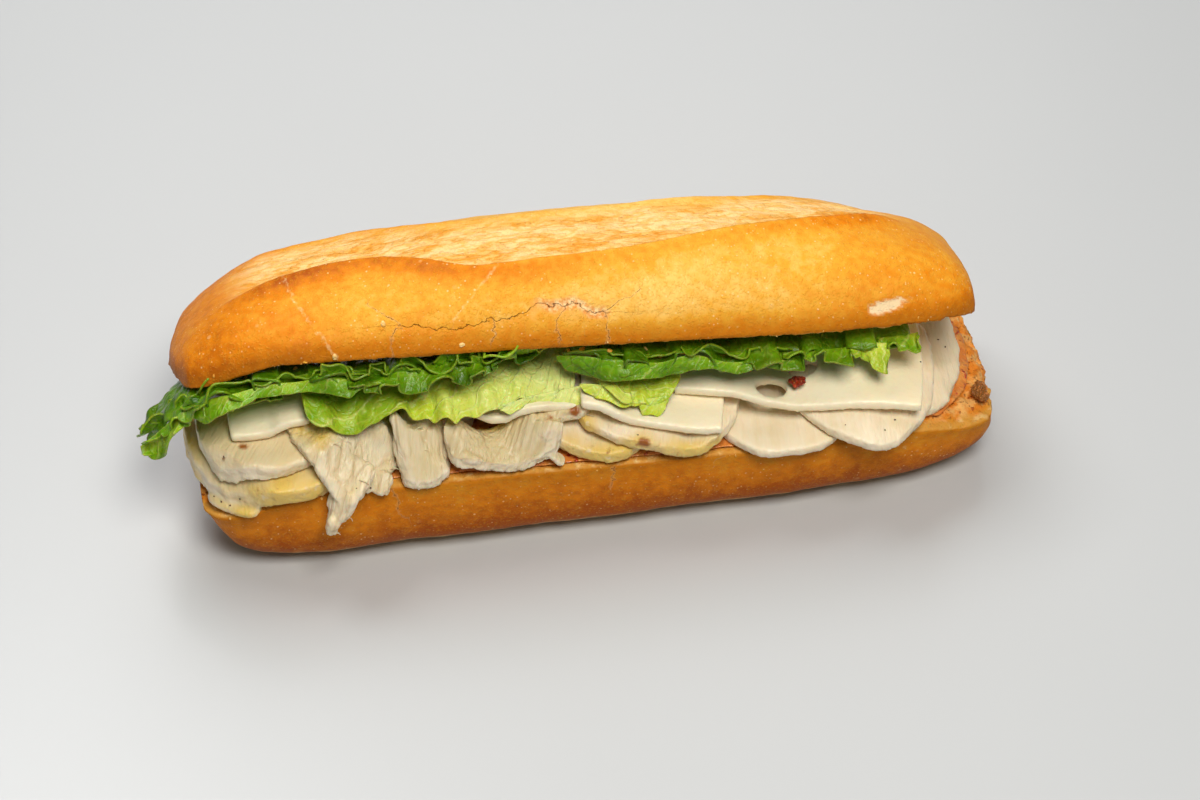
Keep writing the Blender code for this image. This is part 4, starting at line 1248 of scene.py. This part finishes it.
# Curled margins that stand off a leaf: its node, where along X it starts and stops, where down the leaf (0
# at its root, 1 at its edge) it starts and stops, its slope in degrees over level, how far it reaches, how
# high it waves, its number of waves, how pale it is, and a seed. Millimetres.
FRILLS = (
    ("lettuce_left", (-124, -70), (0.74, 0.80), 42, 6.0, 2.0, 3.5, 0.08, 1.0),
    ("lettuce_left", (-122, -72), (0.90, 0.93), -38, 6.5, 1.5, 2.5, 0.20, 2.0),
    ("lettuce_left", (-137, -112), (0.30, 0.60), 30, 7.0, 3.0, 2.6, 0.10, 3.0),
    ("lettuce_left", (-137, -120), (0.70, 0.85), -20, 6.0, 2.6, 2.2, 0.30, 12.0),
    ("lettuce_left", (-138, -118), (0.50, 0.66), 55, 6.0, 2.4, 2.0, 0.06, 14.0),
    ("lettuce_left", (-136, -116), (0.84, 0.90), 20, 6.0, 2.6, 2.4, 0.12, 15.0),
    ("lettuce_middle", (-32, -3), (0.93, 0.93), -58, 6.0, 1.2, 1.3, 1.05, 16.0),
    ("lettuce_tip", (-8, 8), (0.80, 0.85), -48, 5.5, 1.0, 1.0, 0.85, 17.0),
    ("lettuce_tip", (9, 18), (0.90, 0.90), -62, 6.0, 0.8, 0.6, 0.75, 18.0),
    ("lettuce_right", (-14, 18), (0.95, 0.93), -60, 5.5, 1.2, 1.6, 0.10, 19.0),
    ("lettuce_left", (-78, -34), (0.78, 0.76), 48, 6.5, 3.0, 3.6, 0.08, 4.0),
    ("lettuce_left", (-80, -32), (0.90, 0.86), -10, 6.5, 2.8, 4.2, 0.04, 5.0),
    ("lettuce_left", (-40, -12), (0.80, 0.72), 62, 9.0, 3.0, 2.2, 0.30, 6.0),
    ("lettuce_left", (-84, -54), (0.88, 0.88), 64, 5.0, 2.2, 3.0, 0.06, 20.0),
    ("lettuce_left", (-50, -26), (0.88, 0.84), 66, 6.5, 2.4, 2.4, 0.14, 21.0),
    ("lettuce_right", (-10, 56), (0.90, 0.90), -55, 6.0, 0.8, 3.5, 0.12, 7.0),
    ("lettuce_right", (-12, 22), (0.80, 0.80), 50, 4.0, 1.4, 2.5, 0.05, 8.0),
    ("lettuce_right", (22, 56), (0.78, 0.80), 40, 5.0, 1.8, 3.0, 0.10, 13.0),
    ("lettuce_right", (53, 73), (0.82, 0.84), 15, 7.0, 3.0, 2.2, 0.16, 9.0),
    ("lettuce_right", (73, 85), (0.84, 0.84), -38, 8.5, 2.2, 1.0, 0.52, 10.0),
    ("lettuce_right", (82, 95), (0.78, 0.72), 0, 6.5, 2.4, 1.5, 0.24, 11.0),
)


# How a curled margin is made: the length of its faces in millimetres, how many points it has across, how
# many points of its leaf a root is the mean of, how many metres the way down the leaf counts for in finding
# them, and how many roots in a row are evened out.
FRILL_FACE = 0.4
FRILL_ACROSS = 18
ROOT_POINTS = 40
LEAF_DOWN = 0.03
ROOTS_EVENED = 31


def three_ways(points, size, seed):
    """Smooth noise along each of the three axes at each point."""
    return np.stack([lumps(points, size, seed + axis) for axis in range(3)], 1)


def leaf_shell(leaf, thickness):
    """Gives an open leaf its thickness."""
    shell = leaf.modifiers.new("thickness", "SOLIDIFY")
    shell.thickness, shell.offset = thickness, 0.0
    settle_modifiers(leaf)
    leaf.data.shade_smooth()


def ruffled(rest, out, number, root, ribs, heart, rise, lean, waves):
    """The points of a leaf with its ruffles, how many ribs past its middle each is, and how pale."""
    x, y, _ = rest.T
    first, last, count, seed = waves
    along = (x - first) / (last - first)
    phase = 2 * math.pi * count * along + 1.1 * np.sin(2 * math.pi * along * 1.7 + seed)
    share = out ** 1.5
    points = rest + 0.0020 * ease(0.108, 0.120, -x)[:, None] * three_ways(rest, 0.0045, 71.0)
    points[:, 0] -= lean * share * np.sin(2 * phase)
    points[:, 1] += 0.6 * lean * share * np.sin(1.4 * phase + 2.0)
    points[:, 2] += rise * share * (np.sin(2.3 * phase + number) + 0.8 * np.sin(phase))
    points[:, 2] += 0.0012 * share * lumps(rest, (0.004, 0.010, 0.02), 60.0 + number)
    points[:, 2] += 0.0005 * lumps(rest, (0.003, 0.003, 0.01), 70.0 + number)
    fan = np.arctan2(x - root[0], root[1] - y) * ribs
    return points, fan, heart[0] + (heart[1] - heart[0]) * ease(0.0, 1.0, along)


def frill_roots(points, out, ends, drop, count):
    """A smooth row of points on a leaf, from which a curled margin grows."""
    from_leaf = KDTree(len(points))
    for index, (point, down) in enumerate(zip(points, out)):
        from_leaf.insert((point[0], down * LEAF_DOWN, 0.0), index)
    from_leaf.balance()
    roots = []
    for x, down in zip(np.linspace(*ends, count) / 1000, np.linspace(*drop, count)):
        near = from_leaf.find_n((x, down * LEAF_DOWN, 0.0), ROOT_POINTS)
        roots.append(points[[index for _, index, _ in near]].mean(0))
    roots = np.array(roots)
    roots[:, 0] = np.linspace(*ends, count) / 1000
    for axis in (1, 2):
        padded = np.pad(roots[:, axis], ROOTS_EVENED // 2, mode="edge")
        roots[:, axis] = np.convolve(padded, np.ones(ROOTS_EVENED) / ROOTS_EVENED, mode="valid")
    return roots


def frill(points, out, ends, drop, slope, reach, rise, waves, seed):
    """A grid of points for a curled margin that stands off a leaf, and how far out each point is."""
    count = int((ends[1] - ends[0]) / FRILL_FACE)
    u, v = np.meshgrid(np.linspace(0, 1, count), np.linspace(0, 1, FRILL_ACROSS), indexing="ij")
    phase = 2 * math.pi * waves * u + 1.2 * np.sin(2 * math.pi * 1.3 * u + seed) + 2.1 * seed
    taper = ease(0.0, 0.10, u) * ease(1.0, 0.90, u)
    size = (0.75 + 0.25 * np.sin(5 * u + seed)) * (0.45 + 0.55 * taper)
    away = reach * size * v * (1 + 0.12 * np.cos(phase))
    up = size * (rise * v ** 1.3 * np.sin(phase) + 0.35 * rise * v ** 2 * np.sin(2.7 * phase + seed))
    aside = -0.55 * rise * size * v ** 1.5 * np.sin(2 * phase)
    c, s = math.cos(math.radians(slope)), math.sin(math.radians(slope))
    moved = np.stack([aside, up * s - away * c, away * s + up * c], -1) / 1000
    made = frill_roots(points, out, ends, drop, count)[:, None] + moved
    flat = made.reshape(-1, 3)
    flat[:, 2] += 0.0006 * v.ravel() * lumps(flat, (0.003, 0.008, 0.02), 80.0 + seed)
    return flat.reshape(made.shape), v


def leaf_mesh(name, points, faces, values):
    """The mesh of an open leaf with what its material needs to know."""
    mesh = bpy.data.meshes.new(name)
    mesh.from_pydata(points.tolist(), [], faces.tolist())
    for key, each in values.items():
        mark(mesh, key, each)
    return mesh


class SANDWICH_OT_lettuce(bpy.types.Operator):
    """The ruffled lettuce leaves"""
    bl_idname = "sandwich.lettuce"
    bl_label = "Lettuce"

    def execute(self, context):
        look = context.scene.lettuce_look
        material = lettuce_leaf(look)
        for number, (node, traits) in enumerate(LEAVES.items()):
            leaf = leaf_sheet(node, node + "_leaf")
            rest = points_of(leaf.data)
            out = (rest[:, 1].max() - rest[:, 1]) / np.ptp(rest[:, 1])
            points, fan, pale = ruffled(rest, out, number, *traits)
            faces = [np.array([p.vertices[:] for p in leaf.data.polygons])]
            grids, values = [points], {"leaf_out": [out], "fan": [fan], "heart": [pale]}
            for owner, *shape, heart, seed in FRILLS:
                if owner != node:
                    continue
                grid, v = frill(rest, out, *shape, seed)
                rows, across = v.shape
                i, j = np.meshgrid(np.arange(rows - 1), np.arange(across - 1), indexing="ij")
                corner = (sum(map(len, grids)) + i * across + j).ravel()
                faces.append(np.stack([corner, corner + 1, corner + across + 1, corner + across], 1))
                grids.append(grid.reshape(-1, 3))
                values["leaf_out"].append(v.ravel())
                values["fan"].append(grid[..., 0].ravel() * 140 + 0.5 * v.ravel())
                values["heart"].append(heart + 0.25 * (1 - v.ravel()))
            leaf.data = leaf_mesh(node, np.concatenate(grids), np.concatenate(faces),
                                  {key: np.concatenate(each) for key, each in values.items()})
            leaf_shell(leaf, look.thickness)
            dress(leaf, node, material)
        return {"FINISHED"}


def crumb_tree():
    """Loose crumbs over a surface: many where its litter is high, and most of them small."""
    tree, given, keys = new_tree("loose_crumbs", "Crumbs", (
        ("Surface", "Geometry", None), ("Density", "Float", 20000.0), ("Smallest", "Float", 0.0004),
        ("Largest", "Float", 0.0017), ("Seed", "Int", 0), ("Finish", "Material", None)))
    litter = add(tree, "GeometryNodeInputNamedAttribute", {"Name": "litter"}, data_type="FLOAT").outputs[0]
    places = add(tree, "GeometryNodeDistributePointsOnFaces",
                 {"Mesh": given["Surface"], "Density": overlap(tree, litter, given["Density"]),
                  "Seed": given["Seed"]}).outputs["Points"]
    chance = add(tree, "FunctionNodeRandomValue", {2: 0.0, 3: 1.0, "Seed": given["Seed"]},
                 data_type="FLOAT").outputs[1]
    small = add(tree, "ShaderNodeMath", {0: chance, 1: 3.0}, operation="POWER").outputs[0]
    size = add(tree, "ShaderNodeMapRange",
               {"Value": small, "To Min": given["Smallest"], "To Max": given["Largest"]}).outputs[0]
    turn = add(tree, "FunctionNodeRandomValue", {1: (6.28, 6.28, 6.28), "Seed": given["Seed"]},
               data_type="FLOAT_VECTOR").outputs[0]
    turn = add(tree, "FunctionNodeEulerToRotation", {0: turn}).outputs[0]
    squash = add(tree, "FunctionNodeRandomValue",
                 {0: (0.5, 0.35, 0.3), 1: (1.0, 0.7, 0.6), "Seed": given["Seed"]},
                 data_type="FLOAT_VECTOR").outputs[0]
    scale = add(tree, "ShaderNodeVectorMath", {0: squash, "Scale": size}, operation="SCALE").outputs[0]
    grain = add(tree, "GeometryNodeMeshIcoSphere", {"Radius": 0.5, "Subdivisions": 2}).outputs[0]
    laid = add(tree, "GeometryNodeInstanceOnPoints",
               {"Points": places, "Instance": grain, "Rotation": turn, "Scale": scale}).outputs[0]
    real = add(tree, "GeometryNodeRealizeInstances", {0: laid}).outputs[0]
    jag = add(tree, "ShaderNodeTexNoise", {"Scale": 1800.0, "Detail": 1.0}).outputs["Color"]
    jag = add(tree, "ShaderNodeVectorMath", {0: jag, 1: (0.5, 0.5, 0.5)}, operation="SUBTRACT").outputs[0]
    jag = add(tree, "ShaderNodeVectorMath", {0: jag, "Scale": 0.0006}, operation="SCALE").outputs[0]
    rough = add(tree, "GeometryNodeSetPosition", {"Geometry": real, "Offset": jag}).outputs[0]
    end_tree(tree, rough, given["Finish"])
    return tree, keys


# Crumbs and grains of pepper that lie singly, each by a place near it and its size. Millimetres.
CRUMBS = ((-78.5, -23, 74.8, 2.0), (-41.9, -24.2, 74.8, 1.8), (-63.7, -18.1, 80.9, 1.9),
          (-104.5, -17.9, 65.8, 1.6), (-90, -17.3, 66.1, 1.5), (-69.5, -15.9, 64.5, 1.7), (1.0, -25, 66, 1.8),
          (12, -24, 64, 1.6), (16, -26, 62, 1.4), (-7, -25, 68, 2.2), (-11, -25, 68, 1.6))
PEPPER = ((107.9, -2.1, 29.8, 0.7), (109.4, -4.9, 29.2, 0.7), (81.5, -41.3, 35.1, 0.6),
          (85.4, -37.9, 35.3, 0.6), (7.8, -35.6, 40.1, 0.6), (-110.2, -34.2, 32.0, 0.7),
          (-113.3, -28.7, 44.8, 0.8), (-118, -32, 32, 0.6), (-116, -33.5, 31, 0.7), (-113.5, -35, 30.5, 0.6),
          (-120, -30, 32, 0.6), (-72, -38, 34, 0.7), (-76, -41, 38, 0.5), (97, -20, 40, 0.5),
          (70, -38, 36, 0.5))

# Which way the sandwich opens. A single grain falls on it from this far out, and no further than this, in
# metres. It lies this much proud, and this much of it is chipped.
OPEN_SIDE = Vector((-0.11, -0.69, 0.72))
FALLS_FROM = 0.03
FALLS_AT_MOST = 0.05
GRAIN_LIFT = 0.0001
GRAIN_JAG = 0.0002


def lay_grains(context, name, places, material):
    """Drops single grains on the open side of the sandwich, each near its place."""
    graph = context.evaluated_depsgraph_get()
    builder = bmesh.new()
    for number, (x, y, z, size) in enumerate(places):
        start = Vector((x, y, z)) / 1000 + FALLS_FROM * OPEN_SIDE
        hit, place, normal, *_ = context.scene.ray_cast(graph, start, -OPEN_SIDE, distance=FALLS_AT_MOST)
        if hit:
            upright = normal.to_track_quat("Z", "X").to_matrix().to_4x4()
            turn = upright @ Matrix.Rotation(1.7 * number, 4, "Z")
            flat = Matrix.Diagonal((size / 2000, 0.7 * size / 2000, 0.45 * size / 2000, 1))
            bmesh.ops.create_icosphere(builder, subdivisions=3, radius=1.0,
                                       matrix=Matrix.Translation(place + GRAIN_LIFT * normal) @ turn @ flat)
    mesh = bpy.data.meshes.new(name)
    builder.to_mesh(mesh)
    builder.free()
    points = points_of(mesh)
    move_points(mesh, points + GRAIN_JAG * three_ways(points, 0.0006, 91.0))
    grains = new_object(name, mesh)
    mesh.materials.append(material)
    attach(grains, "root")


class SANDWICH_OT_crumbs(bpy.types.Operator):
    """Crumbs along the torn rims of the roll, and single crumbs and grains of pepper"""
    bl_idname = "sandwich.crumbs"
    bl_label = "Crumbs"

    def execute(self, context):
        look = context.scene.crumb_look
        tree, keys = crumb_tree()
        finish = bread_crumb(context.scene.bread_look)
        for number, name in enumerate(("roll_lid", "roll_base")):
            mesh = bpy.data.objects[name].data.copy()
            rim = np.empty(len(mesh.vertices))
            mesh.attributes["rim"].data.foreach_get("value", rim)
            points = points_of(mesh)
            uneven = ease(0.0, 0.35, lumps(points, 0.012, 90.0 + number))
            mark(mesh, "litter", np.exp(-rim / 0.0013) * uneven * ease(0.02, -0.01, points[:, 1]))
            crumbs = new_object(name.replace("roll", "crumbs_on"), mesh)
            growth = crumbs.modifiers.new("crumbs", "NODES")
            growth.node_group = tree
            growth[keys["Density"]] = look.density
            growth[keys["Smallest"]] = look.smallest
            growth[keys["Largest"]] = look.largest
            growth[keys["Seed"]] = look.seed + number
            growth[keys["Finish"]] = finish
            settle_modifiers(crumbs)
            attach(crumbs, "root")
        lay_grains(context, "single_crumbs", CRUMBS, finish)
        lay_grains(context, "pepper_grains", PEPPER, ground_pepper(context.scene.filling_look))
        return {"FINISHED"}


class SANDWICH_PT_panel(bpy.types.Panel):
    """Lists the pieces of the sandwich, and their sizes and colours"""
    bl_idname = "SANDWICH_PT_panel"
    bl_label = "Sandwich"
    bl_space_type = "VIEW_3D"
    bl_region_type = "UI"
    bl_category = "Sandwich"

    def draw(self, context):
        for piece in PIECES:
            self.layout.operator(piece.bl_idname)
        for name in LOOKS:
            look = getattr(context.scene, name)
            self.layout.label(text=type(look).__doc__)
            for key in type(look).__annotations__:
                self.layout.prop(look, key)


LOOKS = {"bread_look": BreadLook, "filling_look": FillingLook, "lettuce_look": LettuceLook,
         "crumb_look": CrumbLook}
PIECES = (SANDWICH_OT_stage, SANDWICH_OT_bread, SANDWICH_OT_spread, SANDWICH_OT_chicken, SANDWICH_OT_cheese,
          SANDWICH_OT_lettuce, SANDWICH_OT_crumbs)


def register():
    """Makes the looks, the pieces and the panel known."""
    for kind in (*LOOKS.values(), *PIECES, SANDWICH_PT_panel):
        bpy.utils.register_class(kind)
    for name, kind in LOOKS.items():
        setattr(bpy.types.Scene, name, PointerProperty(type=kind))


def unregister():
    """Takes them away again."""
    for name in LOOKS:
        delattr(bpy.types.Scene, name)
    for kind in reversed((*LOOKS.values(), *PIECES, SANDWICH_PT_panel)):
        bpy.utils.unregister_class(kind)


def main():
    """Makes every piece."""
    register()
    for piece in PIECES:
        group, name = piece.bl_idname.split(".")
        getattr(getattr(bpy.ops, group), name)()
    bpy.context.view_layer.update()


if __name__ == "__main__":
    main()
